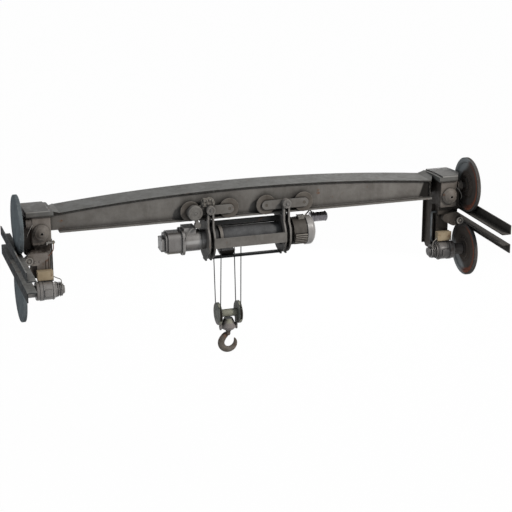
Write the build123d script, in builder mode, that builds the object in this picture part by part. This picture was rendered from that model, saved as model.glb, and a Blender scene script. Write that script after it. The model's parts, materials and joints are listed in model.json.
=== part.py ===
"""Overhead bridge crane with an arched girder, friction-driven end wheels and an electric rope hoist.

X runs along the girder, Y along the runway and Z up, in millimetres.
The origin is on the outer face of the left upper rail, level with the axle of the end wheels.
"""
import os

from build123d import *

os.makedirs("parts", exist_ok=True)

# Runway rails: two equal angles a side, one above the other
runway_span = 5110.0
rail_leg = 100.0
rail_wall = 12.0
rail_root_radius = 9.0
rail_toe_radius = 4.0
rail_gap = 104.0
rail_near_length = 925.0
rail_far_length = 705.0

# End wheels
wheel_radius = 300.0
wheel_width = 40.0
wheel_web_clearance = 43.0
wheel_edge_chamfer = 4.0
wheel_rim_depth = 44.0
wheel_dish_depth = 14.0
wheel_hub_radius = 112.0
wheel_boss_radius = 74.0
wheel_boss_height = 14.0
rolling_gap = 0.3
axle_radius = 28.0
axle_reach = 40.0
axle_end_gap = 4.0
running_clearance = 0.1

# Girder
girder_centre_y = 200.0
top_plate_width = 350.0
top_plate_thickness = 15.0
top_plate_middle_rise = 541.0
top_plate_end_drop = 113.0
end_cut_length = 90.0
plate_corner_cut = 165.0
web_box_width = 310.0
web_corner_cut = 155.0
end_collar_thickness = 16.0
end_collar_lip = 14.0
ramp_length = 110.0
ramp_height = 34.0
track_rise = 236.0
track_width = 420.0
track_thickness = 18.0

# End boxes and their caps
box_offset = 210.0
box_width = 200.0
box_front = 37.0
box_depth = 474.0
box_bottom_rise = 140.0
box_top_rise = 434.0
box_corner_radius = 14.0
cap_overhang = 25.0
cap_outer_overhang = 60.0
cap_front_overhang = 23.0
cap_depth = 455.0
cap_front_height = 60.0
cap_crown_height = 55.0
cap_rear_height = 36.0
cap_step_width = 35.0
cap_step_drop = 12.0
cap_corner_radius = 12.0
cap_edge_radius = 7.0
cap_cut_width = 72.0
cap_cut_depth = 140.0
side_width = 72.0
side_front = 66.0
side_depth = 236.0
side_foot_rise = 72.0
side_top_rise = 404.0
bearing_length = 55.0
bearing_radius = 58.0
bearing_rib_depth = 5.0
bearing_rib_width = 7.0
bearing_rib_count = 4

# Bearing cover on the front of each end box
cover_offset = 106.0
cover_rise = 265.0
cover_radius = 87.0
cover_rim_depth = 25.0
cover_edge = 6.0
cover_shoulder_radius = 66.0
cover_shoulder_depth = 42.0
cover_nose_radius = 30.0
cover_depth = 64.0
cover_hole_radius = 13.0
cover_hole_depth = 24.0

# Bracket under each end box that carries the lower drive
neck_top_width = 176.0
neck_top_depth = 250.0
neck_bottom_width = 140.0
neck_bottom_depth = 190.0
neck_front = 20.0
neck_height = 96.0
lug_thickness = 56.0
lug_offset = 180.0
lug_drop = 144.0
lug_radius = 78.0
lug_tail_offset = 80.0
lug_tail_drop = 127.0
lug_tail_radius = 42.0
lug_pin_radius = 9.0
lug_pin_length = 8.0
lug_pin_spread = 50.0
lug_pin_drop = 34.0
stop_roller_radius = 45.0
stop_roller_length = 70.0
stop_roller_offset = 242.0
stop_roller_drop = 164.0

# Post, junction box, gearbox and motor of the lower drive
post_width = 135.0
post_front = 55.0
post_depth = 105.0
post_foot_drop = 402.0
junction_width = 168.0
junction_height = 104.0
junction_depth = 66.0
junction_drop = 292.0
junction_lid = 8.0
junction_lip = 4.0
gearbox_radius = 98.0
gearbox_neck_radius = 62.0
gearbox_start = 116.0
gearbox_neck_length = 109.0
gearbox_head_length = 40.0
gearbox_body_length = 130.0
drive_ring_height = 6.0
drive_ring_width = 25.0
drive_edge = 8.0
motor_flange_radius = 82.0
motor_flange_length = 20.0
motor_radius = 66.0
motor_length = 48.0
motor_ring_width = 10.0
motor_cap_radius = 52.0
motor_cap_length = 26.0

# Channel behind each post and the tie rod at its front flange
channel_width = 236.0
channel_front = 120.0
channel_wall = 10.0
channel_flange = 40.0
channel_foot_drop = 540.0
channel_corner_radius = 42.0
tie_rod_radius = 8.0
tie_rod_stand = 14.0
tie_rod_top_drop = 166.0
tie_rod_length = 276.0
tie_rod_clamp = 26.0

# Trolley bogies and their wheels
trolley_shift = 65.0
bogie_spacing = 826.0
bogie_wheelbase = 420.0
trolley_wheel_radius = 90.0
trolley_flange_radius = 107.0
trolley_flange_width = 10.0
trolley_tread_width = 40.0
trolley_wheel_edge = 4.0
track_edge_clearance = 5.0
link_gap = 8.0
link_thickness = 12.0
link_height = 96.0
stub_radius = 18.0
stub_recess = 1.0

# Hangers that join the front and rear bogies under the girder and hold the hoist
hanger_spacing = 832.0
hanger_shift = 71.0
hoist_centre_y = 50.0
hoist_rise = 10.0
hanger_plate_spacing = 55.0
hanger_thickness = 18.0
hanger_ring_radius = 214.0
hanger_foot_width = 96.0
hanger_foot_drop = 230.0
hanger_neck_width = 50.0
hanger_neck_gap = 4.0
hanger_neck_top = 366.0
hanger_arm_top = 222.0
hanger_arm_height = 62.0
hanger_corner_radius = 24.0
hanger_flat = 4.0
pivot_radius = 47.0
pivot_rise = 15.0
pivot_head = 16.0
spacer_radius = 24.0
spacer_drop = 150.0
top_bar_height = 40.0
top_bar_width = 30.0
top_bar_rise = 160.0
lower_bar_drop = 214.0
lower_bar_width = 44.0
lower_bar_height = 24.0
shield_height = 108.0
shield_thickness = 8.0
shield_rise = 2.0

# Drum, rope guide and return sheave block
drum_radius = 117.0
drum_flange_radius = 132.0
drum_flange_width = 12.0
drum_end_gap = 8.0
drum_shaft_radius = 50.0
drum_shaft_reach = 14.0
guide_radius = 138.0
guide_gap = 6.0
guide_width = 32.0
guide_offset = 127.0
guide_ear_width = 30.0
guide_foot_rise = 12.0
return_width = 178.0
return_foot_width = 122.0
return_depth = 92.0
return_drop = 160.0
return_height = 60.0

# Hoist gearbox on the left and motor on the right
gear_body_radius = 115.0
gear_waist_radius = 104.0
gear_body_length = 186.0
gear_waist_length = 50.0
gear_body_edge = 8.0
gear_box_length = 128.0
gear_box_width = 156.0
gear_box_rise = 158.0
gear_flange_width = 270.0
gear_flange_corner = 76.0
gear_flange_length = 26.0
gear_case_width = 236.0
gear_case_height = 228.0
gear_case_corner = 64.0
gear_case_length = 150.0
gear_lid_inset = 26.0
gear_lid_corner = 54.0
gear_lid_length = 24.0
gear_end_width = 172.0
gear_end_height = 150.0
gear_end_corner = 38.0
gear_end_length = 40.0
gear_end_drop = 10.0
motor_neck_radius = 120.0
motor_neck_length = 55.0
hoist_motor_radius = 148.0
hoist_motor_length = 152.0
fin_depth = 13.0
fin_slot_width = 8.0
fin_slot_count = 7
fin_slot_turn = 9.0
front_angle = 180.0
fin_margin = 12.0
fan_cover_radius = 160.0
fan_cover_length = 48.0
fan_dome_depth = 66.0

# Limit switch cylinder on a rod behind the motor
limit_y = 215.0
limit_rise = 90.0
limit_radius = 53.0
limit_length = 190.0
limit_start = 281.0
limit_rod_radius = 12.0
limit_collar_radius = 26.0
limit_collar_length = 40.0
limit_collar_start = 104.0
limit_edge = 8.0

# Trolley travel drive in front of the left bogie
travel_offset = 587.0
travel_rise = 339.0
travel_radius = 79.0
travel_depth = 58.0
travel_edge = 10.0
pinion_radius = 33.0
pinion_shift = 28.0
pinion_drop = 136.0
pinion_depth = 40.0
travel_arm_width = 34.0

# Rope falls, hook block and hook
rope_radius = 5.5
sheave_pitch_radius = 90.0
sheave_spacing = 226.0
rope_drum_gap = 0.6
rear_left_lead = -14.0
front_left_lead = 4.0
rear_right_lead = -8.0
front_right_lead = -5.0
block_offset = 225.0
block_drop = 854.0
sheave_housing_radius = 123.0
sheave_housing_width = 36.0
sheave_slot_width = 18.0
sheave_slot_depth = 28.0
housing_edge = 5.0
block_tube_radius = 42.0
crosshead_top_radius = 46.0
crosshead_radius = 80.0
crosshead_foot_radius = 30.0
crosshead_bulge_radius = 67.0
crosshead_heel_radius = 64.0
crosshead_top_drop = 58.0
crosshead_bulge_drop = 104.0
crosshead_wide_drop = 150.0
crosshead_heel_drop = 180.0
crosshead_foot_drop = 193.0
strap_thickness = 12.0
strap_width = 66.0
strap_drop = 158.0
strap_angle = 90.0
hook_shank_radius = 23.0
hook_shank_length = 80.0
hook_shank_gap = 6.0
hook_collar_radius = 30.0
hook_collar_height = 12.0
hook_collar_gap = 5.0
hook_neck_length = 50.0
hook_spine_radius = 80.0
hook_bowl_shift = 2.0
hook_bowl_drop = 146.0
hook_body_depth = 74.0
hook_foot_depth = 66.0
hook_thin_depth = 44.0
hook_tip_depth = 12.0
hook_flat_share = 0.68
hook_start_angle = 160.0
hook_sweep_angle = 232.0
hook_lean_share = 0.75
hook_section_shares = (0.0, 0.36, 0.66, 0.88, 1.0)

# Values worked out from the sizes above
middle_x = runway_span / 2
middle_z = -(rail_gap / 2 + rail_leg / 2)
middle_plane = Plane.YZ.offset(middle_x)
level_plane = Plane.XY.offset(middle_z)
wheel_rise = rail_gap / 2 + rail_wall + wheel_radius + rolling_gap
wheel_face_x = rail_wall + wheel_web_clearance
box_outer_x = box_offset
box_inner_x = box_outer_x + box_width
cap_inner_x = box_inner_x + cap_overhang
girder_length = runway_span - 2 * box_inner_x
trolley_x = middle_x - trolley_shift
hanger_x = middle_x - hanger_shift
overrun = 20.0


def at_height(rise):
    """Height above the origin of something that lies so far above the middle of the rail gap."""
    return middle_z + rise


def front_plane(y):
    """Upright sketch plane across the runway, at a distance along it."""
    return Plane.XZ.offset(-y)


def side_plane(x):
    """Upright sketch plane along the runway, at a distance along the girder."""
    return Plane.YZ.offset(x)


def axis_along_x(y, z):
    return Axis((0, y, z), (1, 0, 0))


def write(piece, name):
    piece.part.label = name
    export_step(piece.part, f"parts/{name}.step")


def write_pair(piece, name):
    """Writes a piece of the left end and its mirror image at the right end."""
    write(piece, f"{name}_left")
    with BuildPart() as twin:
        mirror(piece.part, about=middle_plane)
    write(twin, f"{name}_right")


def turned(points, y, z):
    """Solid turned about a line along X, from (x, radius) points that end on that line."""
    with BuildPart() as body:
        with BuildSketch(front_plane(y)):
            with BuildLine():
                Polyline([(x, z + radius) for x, radius in points], close=True)
            make_face()
        revolve(axis=axis_along_x(y, z))
    return body.part


def turned_along_runway(points, x, z):
    """Solid turned about a line along Y, from (y, radius) points that end on that line."""
    with BuildPart() as body:
        with BuildSketch(side_plane(x)):
            with BuildLine():
                Polyline([(y, z + radius) for y, radius in points], close=True)
            make_face()
        revolve(axis=Axis((x, 0, z), (0, 1, 0)))
    return body.part


# Runway rails
with BuildPart() as rails:
    rail_z = at_height(rail_gap / 2)
    with BuildSketch(front_plane(-rail_near_length)) as rail_section:
        with BuildLine():
            Polyline(
                (0, rail_z),
                (rail_leg, rail_z),
                (rail_leg, rail_z + rail_wall),
                (rail_wall, rail_z + rail_wall),
                (rail_wall, rail_z + rail_leg),
                (0, rail_z + rail_leg),
                close=True,
            )
        make_face()
        inner_corner = rail_section.vertices().sort_by_distance((rail_wall, -rail_near_length, rail_z + rail_wall))[0]
        fillet(inner_corner, rail_root_radius)
        toes = rail_section.vertices().filter_by_position(Axis.X, rail_leg - rail_toe_radius, rail_leg)
        fillet(toes.sort_by(Axis.Z)[-1:], rail_toe_radius)
    extrude(amount=-(rail_near_length + rail_far_length))
    mirror(about=level_plane)
write_pair(rails, "runway_rails")


def end_wheel(rise):
    """Wheel with its axle: flat outer face, and a rim, dish and stepped hub on the inner side."""
    inner_x = wheel_face_x + wheel_width
    dish_x = inner_x - wheel_dish_depth
    boss_x = inner_x + wheel_boss_height
    axle_x = box_outer_x + axle_reach
    points = [
        (wheel_face_x, 0),
        (wheel_face_x, wheel_radius - wheel_edge_chamfer),
        (wheel_face_x + wheel_edge_chamfer, wheel_radius),
        (inner_x - wheel_edge_chamfer, wheel_radius),
        (inner_x, wheel_radius - wheel_edge_chamfer),
        (inner_x, wheel_radius - wheel_rim_depth),
        (dish_x, wheel_radius - wheel_rim_depth - wheel_dish_depth),
        (dish_x, wheel_hub_radius + wheel_dish_depth),
        (inner_x, wheel_hub_radius),
        (inner_x, wheel_boss_radius),
        (boss_x, wheel_boss_radius),
        (boss_x, axle_radius),
        (axle_x, axle_radius),
        (axle_x, 0),
    ]
    return turned(points, 0, at_height(rise))


with BuildPart() as upper_wheel:
    add(end_wheel(wheel_rise))
write_pair(upper_wheel, "upper_wheel")

with BuildPart() as lower_wheel:
    add(end_wheel(-wheel_rise))
write_pair(lower_wheel, "lower_wheel")

# Girder top plate: an arched plate that rises to the caps, with two opposite corners cut back
plate_top_z = at_height(top_plate_middle_rise)
plate_end_z = plate_top_z - top_plate_end_drop
plate_front_y = girder_centre_y - top_plate_width / 2
track_z = at_height(track_rise)
web_foot_z = track_z + track_thickness
girder_tall = plate_top_z - web_foot_z


def arch(z):
    """Arched line over the whole girder that is highest in the middle."""
    start = (box_inner_x, z - top_plate_end_drop)
    end = (runway_span - box_inner_x, z - top_plate_end_drop)
    return ThreePointArc(start, (middle_x, z), end)


with BuildPart() as top_plate:
    with BuildSketch(Plane.XY.offset(web_foot_z)):
        with Locations((middle_x, girder_centre_y)):
            Rectangle(girder_length, top_plate_width)
        for side in (-1, 1):
            end_x = middle_x + side * girder_length / 2
            edge_y = girder_centre_y - side * top_plate_width / 2
            with BuildLine():
                Polyline(
                    (end_x, edge_y),
                    (end_x - side * end_cut_length, edge_y),
                    (end_x, edge_y + side * plate_corner_cut),
                    close=True,
                )
            make_face(mode=Mode.SUBTRACT)
    extrude(amount=girder_tall)
    with BuildSketch(front_plane(plate_front_y)):
        with BuildLine():
            upper = arch(plate_top_z)
            lower = arch(plate_top_z - top_plate_thickness)
            Line(upper @ 0, lower @ 0)
            Line(upper @ 1, lower @ 1)
        make_face()
        for side in (-1, 1):
            ramp_x = middle_x + side * (middle_x - cap_inner_x)
            with BuildLine():
                Polyline(
                    (ramp_x, plate_end_z),
                    (ramp_x, plate_end_z + ramp_height),
                    (ramp_x - side * ramp_length, plate_end_z),
                    close=True,
                )
            make_face()
    extrude(amount=-top_plate_width, mode=Mode.INTERSECT)
write(top_plate, "girder_top_plate")

# Girder box: upright webs between the arch and the track plate, cut back and collared at two opposite corners
web_front_y = girder_centre_y - web_box_width / 2

with BuildPart() as girder_box:
    with BuildSketch(Plane.XY.offset(web_foot_z)):
        with Locations((middle_x, girder_centre_y)):
            Rectangle(girder_length, web_box_width)
        for side in (-1, 1):
            end_x = middle_x + side * girder_length / 2
            web_y = girder_centre_y - side * web_box_width / 2
            with Locations((end_x - side * end_cut_length / 2, web_y + side * web_corner_cut / 2)):
                Rectangle(end_cut_length, web_corner_cut, mode=Mode.SUBTRACT)
            collar_middle_x = end_x - side * (end_cut_length + end_collar_thickness / 2)
            with Locations((collar_middle_x, web_y)):
                Rectangle(end_collar_thickness, 2 * end_collar_lip)
    extrude(amount=girder_tall)
    with BuildSketch(front_plane(plate_front_y)):
        with BuildLine():
            roof = arch(plate_top_z - top_plate_thickness)
            Polyline(
                roof @ 0,
                (box_inner_x, web_foot_z),
                (runway_span - box_inner_x, web_foot_z),
                roof @ 1,
            )
        make_face()
    extrude(amount=-top_plate_width, mode=Mode.INTERSECT)
write(girder_box, "girder_box")

# Track plate under the girder, wider than the box, on which the trolley's wheels run
with BuildPart() as girder_track:
    with BuildSketch(Plane.XY.offset(track_z)):
        with Locations((middle_x, girder_centre_y)):
            Rectangle(girder_length - 2 * end_cut_length, track_width)
    extrude(amount=track_thickness)
write(girder_track, "girder_track")

# End box with the ribbed bearing of the upper wheel on its outer side
box_bottom_z = at_height(box_bottom_rise)
box_top_z = at_height(box_top_rise)
box_middle_x = box_inner_x - box_width / 2
box_middle_y = box_depth / 2 - box_front


def ribbed_bearing(z):
    end_x = box_outer_x - bearing_length
    with BuildPart() as bearing:
        with BuildSketch(side_plane(box_outer_x)):
            with Locations((0, z)):
                Circle(bearing_radius - bearing_rib_depth)
        extrude(amount=-bearing_length)
        spacing = bearing_length / bearing_rib_count
        for index in range(bearing_rib_count):
            with BuildSketch(side_plane(box_outer_x - index * spacing)):
                with Locations((0, z)):
                    Circle(bearing_radius)
            extrude(amount=-bearing_rib_width)
    return bearing.part


upper_axle_z = at_height(wheel_rise)
with BuildPart() as end_box:
    with BuildSketch(Plane.XY.offset(box_bottom_z)):
        with Locations((box_middle_x, box_middle_y)):
            RectangleRounded(box_width, box_depth, box_corner_radius)
    extrude(amount=box_top_z - box_bottom_z)
    with BuildSketch(Plane.XY.offset(at_height(side_foot_rise))):
        with Locations((box_outer_x - side_width / 2, side_front + side_depth / 2)):
            Rectangle(side_width, side_depth)
    extrude(amount=side_top_rise - side_foot_rise)
    add(ribbed_bearing(upper_axle_z))
    with BuildSketch(side_plane(box_outer_x + axle_reach + axle_end_gap)):
        with Locations((0, upper_axle_z)):
            Circle(axle_radius + running_clearance)
    extrude(amount=-(bearing_length + axle_reach + axle_end_gap + overrun), mode=Mode.SUBTRACT)
write_pair(end_box, "end_box")

# Cap over each end box: a lid that slopes down to the back, with a step along its inner edge
cap_outer_x = box_outer_x - cap_outer_overhang
cap_step_x = cap_inner_x - cap_step_width
cap_front_y = -box_front - cap_front_overhang
cap_back_y = cap_front_y + cap_depth


def cap_slice(start_x, end_x, lowering):
    """Slice of the cap between two places along the girder, with its top lowered by that much."""
    with BuildPart() as piece:
        with BuildSketch(side_plane(start_x)):
            with BuildLine():
                Polyline(
                    (cap_back_y, box_top_z + cap_rear_height - lowering),
                    (cap_back_y, box_top_z),
                    (cap_front_y, box_top_z),
                    (cap_front_y, box_top_z + cap_front_height - lowering),
                )
                ThreePointArc(
                    (cap_front_y, box_top_z + cap_front_height - lowering),
                    (cap_front_y + cap_depth / 2, box_top_z + cap_crown_height - lowering),
                    (cap_back_y, box_top_z + cap_rear_height - lowering),
                )
            make_face()
        extrude(amount=end_x - start_x)
    return piece.part


def end_cap(corner_is_cut):
    """Cap of the left end, with rounded edges or else with its outer front corner cut off."""
    with BuildPart() as cap:
        add(cap_slice(cap_outer_x, cap_step_x, 0))
        if corner_is_cut:
            with BuildSketch(Plane.XY.offset(box_top_z)):
                with BuildLine():
                    Polyline(
                        (cap_outer_x, cap_front_y),
                        (cap_outer_x + cap_cut_width, cap_front_y),
                        (cap_outer_x, cap_front_y + cap_cut_depth),
                        close=True,
                    )
                make_face()
            extrude(amount=cap_front_height + overrun, mode=Mode.SUBTRACT)
        else:
            fillet(cap.edges().filter_by(Axis.Z).sort_by(Axis.X)[:-2], cap_corner_radius)
            fillet(cap.faces().sort_by(Axis.Z)[-1].edges(), cap_edge_radius)
        add(cap_slice(cap_step_x, cap_inner_x, cap_step_drop))
    return cap


write(end_cap(False), "end_cap_left")

# The cap at the right has its outer front corner cut off
with BuildPart() as right_cap:
    mirror(end_cap(True).part, about=middle_plane)
write(right_cap, "end_cap_right")

# Bearing cover: a rim, a domed face and a flat nose with a hole
cover_x = box_inner_x - cover_offset
cover_z = at_height(cover_rise)
cover_points = [
    (-box_front, 0),
    (-box_front, cover_radius),
    (-box_front - cover_rim_depth + cover_edge, cover_radius),
    (-box_front - cover_rim_depth, cover_radius - cover_edge),
    (-box_front - cover_shoulder_depth, cover_shoulder_radius),
    (-box_front - cover_depth, cover_nose_radius),
    (-box_front - cover_depth, cover_hole_radius),
    (-box_front - cover_depth + cover_hole_depth, cover_hole_radius),
    (-box_front - cover_depth + cover_hole_depth, 0),
]
with BuildPart() as bearing_cover:
    add(turned_along_runway(cover_points, cover_x, cover_z))
write_pair(bearing_cover, "bearing_cover")

# Bracket: tapered neck, pear-shaped lug with pins and a stop roller, and the post
neck_front_edge = neck_front
neck_foot_z = box_bottom_z - neck_height
lug_x = box_inner_x - lug_offset
lug_z = box_bottom_z - lug_drop
post_x = box_inner_x - channel_wall - post_width / 2


def neck_section(width, depth):
    """Outline of the neck, flush with its inner side and its front."""
    with Locations((box_inner_x - channel_wall - width / 2, neck_front_edge + depth / 2)):
        Rectangle(width, depth)


with BuildPart() as end_bracket:
    with BuildSketch(Plane.XY.offset(box_bottom_z)):
        neck_section(neck_top_width, neck_top_depth)
    with BuildSketch(Plane.XY.offset(neck_foot_z)):
        neck_section(neck_bottom_width, neck_bottom_depth)
    loft()
    with BuildSketch(front_plane(neck_front_edge)):
        with Locations((lug_x, lug_z)):
            Circle(lug_radius)
        with Locations((box_inner_x - lug_tail_offset, box_bottom_z - lug_tail_drop)):
            Circle(lug_tail_radius)
        make_hull()
    extrude(amount=lug_thickness)
    with BuildSketch(front_plane(neck_front_edge - lug_thickness)):
        for pin_x in (lug_x, lug_x + lug_pin_spread):
            with Locations((pin_x, lug_z - lug_pin_drop)):
                Circle(lug_pin_radius)
    extrude(amount=lug_pin_length)
    with BuildSketch(front_plane(neck_front_edge)):
        with Locations((box_inner_x - stop_roller_offset, box_bottom_z - stop_roller_drop)):
            Circle(stop_roller_radius)
    extrude(amount=stop_roller_length)
    with BuildSketch(Plane.XY.offset(box_bottom_z - overrun)):
        with Locations((post_x, post_front + post_depth / 2)):
            Rectangle(post_width, post_depth)
    extrude(amount=-(post_foot_drop - overrun))
write_pair(end_bracket, "end_bracket")

# Junction box on the front of each post, with a lid that stands proud all round
junction_x = post_x
junction_z = box_bottom_z - junction_drop
with BuildPart() as junction_box:
    with BuildSketch(front_plane(post_front)):
        with Locations((junction_x, junction_z - junction_height / 2)):
            Rectangle(junction_width - 2 * junction_lip, junction_height - 2 * junction_lip)
    extrude(amount=junction_depth - junction_lid)
    with BuildSketch(front_plane(post_front - junction_depth + junction_lid)):
        with Locations((junction_x, junction_z - junction_height / 2)):
            Rectangle(junction_width, junction_height)
    extrude(amount=junction_lid)
    fillet(junction_box.edges().filter_by(Axis.Y), junction_lip)
write_pair(junction_box, "junction_box")

# Gearbox of the lower drive: a bearing neck round the wheel's axle and a ringed body with a pad on top
lower_axle_z = at_height(-wheel_rise)
post_foot_z = box_bottom_z - post_foot_drop
head_x = gearbox_start + gearbox_neck_length
ring_x = head_x + gearbox_head_length
body_x = ring_x + drive_ring_width
motor_x = body_x + gearbox_body_length
ring_radius = gearbox_radius + drive_ring_height
with BuildPart() as drive_gearbox:
    gearbox_outline = [
        (gearbox_start, 0),
        (gearbox_start, gearbox_neck_radius),
        (head_x, gearbox_neck_radius),
        (head_x, gearbox_radius - drive_edge),
        (head_x + drive_edge, gearbox_radius),
        (ring_x, gearbox_radius),
        (ring_x, ring_radius),
        (body_x, ring_radius),
        (body_x, gearbox_radius),
        (motor_x - drive_edge, gearbox_radius),
        (motor_x, gearbox_radius - drive_edge),
        (motor_x, 0),
    ]
    add(turned(gearbox_outline, 0, lower_axle_z))
    with BuildSketch(Plane.XY.offset(post_foot_z)):
        with Locations(((body_x + box_inner_x - channel_wall) / 2, post_front + post_depth / 2)):
            Rectangle(box_inner_x - channel_wall - body_x, post_depth)
    extrude(amount=lower_axle_z - post_foot_z)
    with BuildSketch(side_plane(box_outer_x + axle_reach + axle_end_gap)):
        with Locations((0, lower_axle_z)):
            Circle(axle_radius + running_clearance)
    extrude(amount=-(box_outer_x + axle_reach), mode=Mode.SUBTRACT)
write_pair(drive_gearbox, "drive_gearbox")

# Motor of the lower drive: flange, ringed cylinder and end cap
with BuildPart() as drive_motor:
    flange_x = motor_x + motor_flange_length
    collar_start_x = flange_x + motor_length
    cap_start_x = collar_start_x + motor_ring_width
    motor_outline = [
        (motor_x, 0),
        (motor_x, motor_flange_radius),
        (flange_x, motor_flange_radius),
        (flange_x, motor_radius),
        (collar_start_x, motor_radius),
        (collar_start_x, motor_radius + drive_ring_height),
        (cap_start_x, motor_radius + drive_ring_height),
        (cap_start_x, motor_cap_radius),
        (cap_start_x + motor_cap_length - drive_edge, motor_cap_radius),
        (cap_start_x + motor_cap_length, motor_cap_radius - drive_edge),
        (cap_start_x + motor_cap_length, 0),
    ]
    add(turned(motor_outline, 0, lower_axle_z))
write_pair(drive_motor, "drive_motor")

# Channel behind each post: flanges toward the middle, a rounded top corner and a cut foot corner
channel_x = box_inner_x - channel_wall
channel_back = channel_front + channel_width
channel_foot_z = box_bottom_z - channel_foot_drop
with BuildPart() as rear_channel:
    with BuildSketch(Plane.XY.offset(box_bottom_z)):
        with Locations((channel_x + channel_flange / 2, channel_front + channel_width / 2)):
            Rectangle(channel_flange, channel_width)
        with Locations((channel_x + channel_wall + channel_flange / 2, channel_front + channel_width / 2)):
            Rectangle(channel_flange, channel_width - 2 * channel_wall, mode=Mode.SUBTRACT)
    extrude(amount=-channel_foot_drop)
    with BuildSketch(side_plane(channel_x)):
        with BuildLine():
            Polyline(
                (channel_back - channel_corner_radius, channel_foot_z),
                (channel_back, channel_foot_z),
                (channel_back, channel_foot_z + channel_corner_radius),
                close=True,
            )
        make_face()
    extrude(amount=channel_flange, mode=Mode.SUBTRACT)
    rod_x = channel_x + channel_flange / 2
    rod_y = channel_front - tie_rod_stand
    rod_z = box_bottom_z - tie_rod_top_drop
    with BuildSketch(Plane.XY.offset(rod_z)):
        with Locations((rod_x, rod_y)):
            Circle(tie_rod_radius)
    extrude(amount=-tie_rod_length)
    for clamp_drop in (tie_rod_clamp, tie_rod_length - tie_rod_clamp):
        with BuildSketch(Plane.XY.offset(rod_z - clamp_drop)):
            with Locations((rod_x, channel_front - tie_rod_stand / 2)):
                Rectangle(tie_rod_clamp, tie_rod_stand)
        extrude(amount=tie_rod_clamp / 2, both=True)
write_pair(rear_channel, "rear_channel")

# Trolley wheels: a flanged tread on a stub axle, front and rear wheels of one axle line together
track_front_y = girder_centre_y - track_width / 2
trolley_wheel_z = web_foot_z + trolley_wheel_radius + rolling_gap
flange_back_y = track_front_y - track_edge_clearance
flange_front_y = flange_back_y - trolley_flange_width
tread_back_y = flange_back_y + trolley_tread_width
link_back_y = flange_front_y - link_gap
link_front_y = link_back_y - link_thickness
girder_plane = front_plane(girder_centre_y)


def trolley_wheels(x):
    wheel_points = [
        (link_front_y + stub_recess, 0),
        (link_front_y + stub_recess, stub_radius),
        (flange_front_y, stub_radius),
        (flange_front_y, trolley_flange_radius - trolley_wheel_edge),
        (flange_front_y + trolley_wheel_edge, trolley_flange_radius),
        (flange_back_y, trolley_flange_radius),
        (flange_back_y, trolley_wheel_radius),
        (tread_back_y - trolley_wheel_edge, trolley_wheel_radius),
        (tread_back_y, trolley_wheel_radius - trolley_wheel_edge),
        (tread_back_y, 0),
    ]
    with BuildPart() as wheels:
        add(turned_along_runway(wheel_points, x, trolley_wheel_z))
        mirror(about=girder_plane)
    return wheels


wheel_names = ("outer_left", "inner_left", "inner_right", "outer_right")
wheel_offsets = (
    -bogie_spacing / 2 - bogie_wheelbase / 2,
    -bogie_spacing / 2 + bogie_wheelbase / 2,
    bogie_spacing / 2 - bogie_wheelbase / 2,
    bogie_spacing / 2 + bogie_wheelbase / 2,
)
for wheel_name, wheel_offset in zip(wheel_names, wheel_offsets):
    write(trolley_wheels(trolley_x + wheel_offset), f"trolley_wheels_{wheel_name}")


# Bogie links: plates with round ends that are bored for the wheels' stub axles, front and rear
def bogie_links(x):
    with BuildPart() as links:
        with BuildSketch(front_plane(link_front_y)):
            with Locations((x, trolley_wheel_z)):
                SlotCenterToCenter(bogie_wheelbase, link_height)
            for side in (-1, 1):
                with Locations((x + side * bogie_wheelbase / 2, trolley_wheel_z)):
                    Circle(stub_radius + running_clearance, mode=Mode.SUBTRACT)
        extrude(amount=-link_thickness)
        mirror(about=girder_plane)
    return links


write(bogie_links(trolley_x - bogie_spacing / 2), "bogie_links_left")
write(bogie_links(trolley_x + bogie_spacing / 2), "bogie_links_right")

# Hangers: two profiled plates each, from the front links under the girder to the rear links
hoist_z = at_height(hoist_rise)
neck_back_y = link_front_y - hanger_neck_gap
neck_middle_y = neck_back_y - hanger_neck_width / 2
arm_top_z = at_height(hanger_arm_top)
arm_foot_z = arm_top_z - hanger_arm_height
neck_top_z = at_height(hanger_neck_top)
hanger_reach = 2 * (girder_centre_y - neck_back_y + hanger_neck_width)
half_pair = hanger_plate_spacing / 2
front_edge_y = neck_back_y - hanger_neck_width
shield_back_y = hoist_centre_y - hanger_ring_radius + hanger_flat
ring_chord = (hanger_ring_radius**2 - (arm_foot_z - hoist_z) ** 2) ** 0.5
pivot_z = trolley_wheel_z + pivot_rise


def hanger_outline():
    """Ring round the hoist's axis, an arm under the girder and a neck up each side of it."""
    with Locations((hoist_centre_y, hoist_z)):
        Circle(hanger_ring_radius)
    with Locations((hoist_centre_y, hoist_z - hanger_foot_drop / 2)):
        Rectangle(hanger_foot_width, hanger_foot_drop)
    with Locations((girder_centre_y, (arm_top_z + arm_foot_z) / 2)):
        Rectangle(hanger_reach, hanger_arm_height)
    for y in (neck_middle_y, 2 * girder_centre_y - neck_middle_y):
        with Locations((y, (neck_top_z + arm_top_z) / 2)):
            Rectangle(hanger_neck_width, neck_top_z - arm_top_z)
    with Locations((shield_back_y - hanger_flat, hoist_z + shield_rise)):
        Rectangle(2 * hanger_flat, shield_height, mode=Mode.SUBTRACT)


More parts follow.
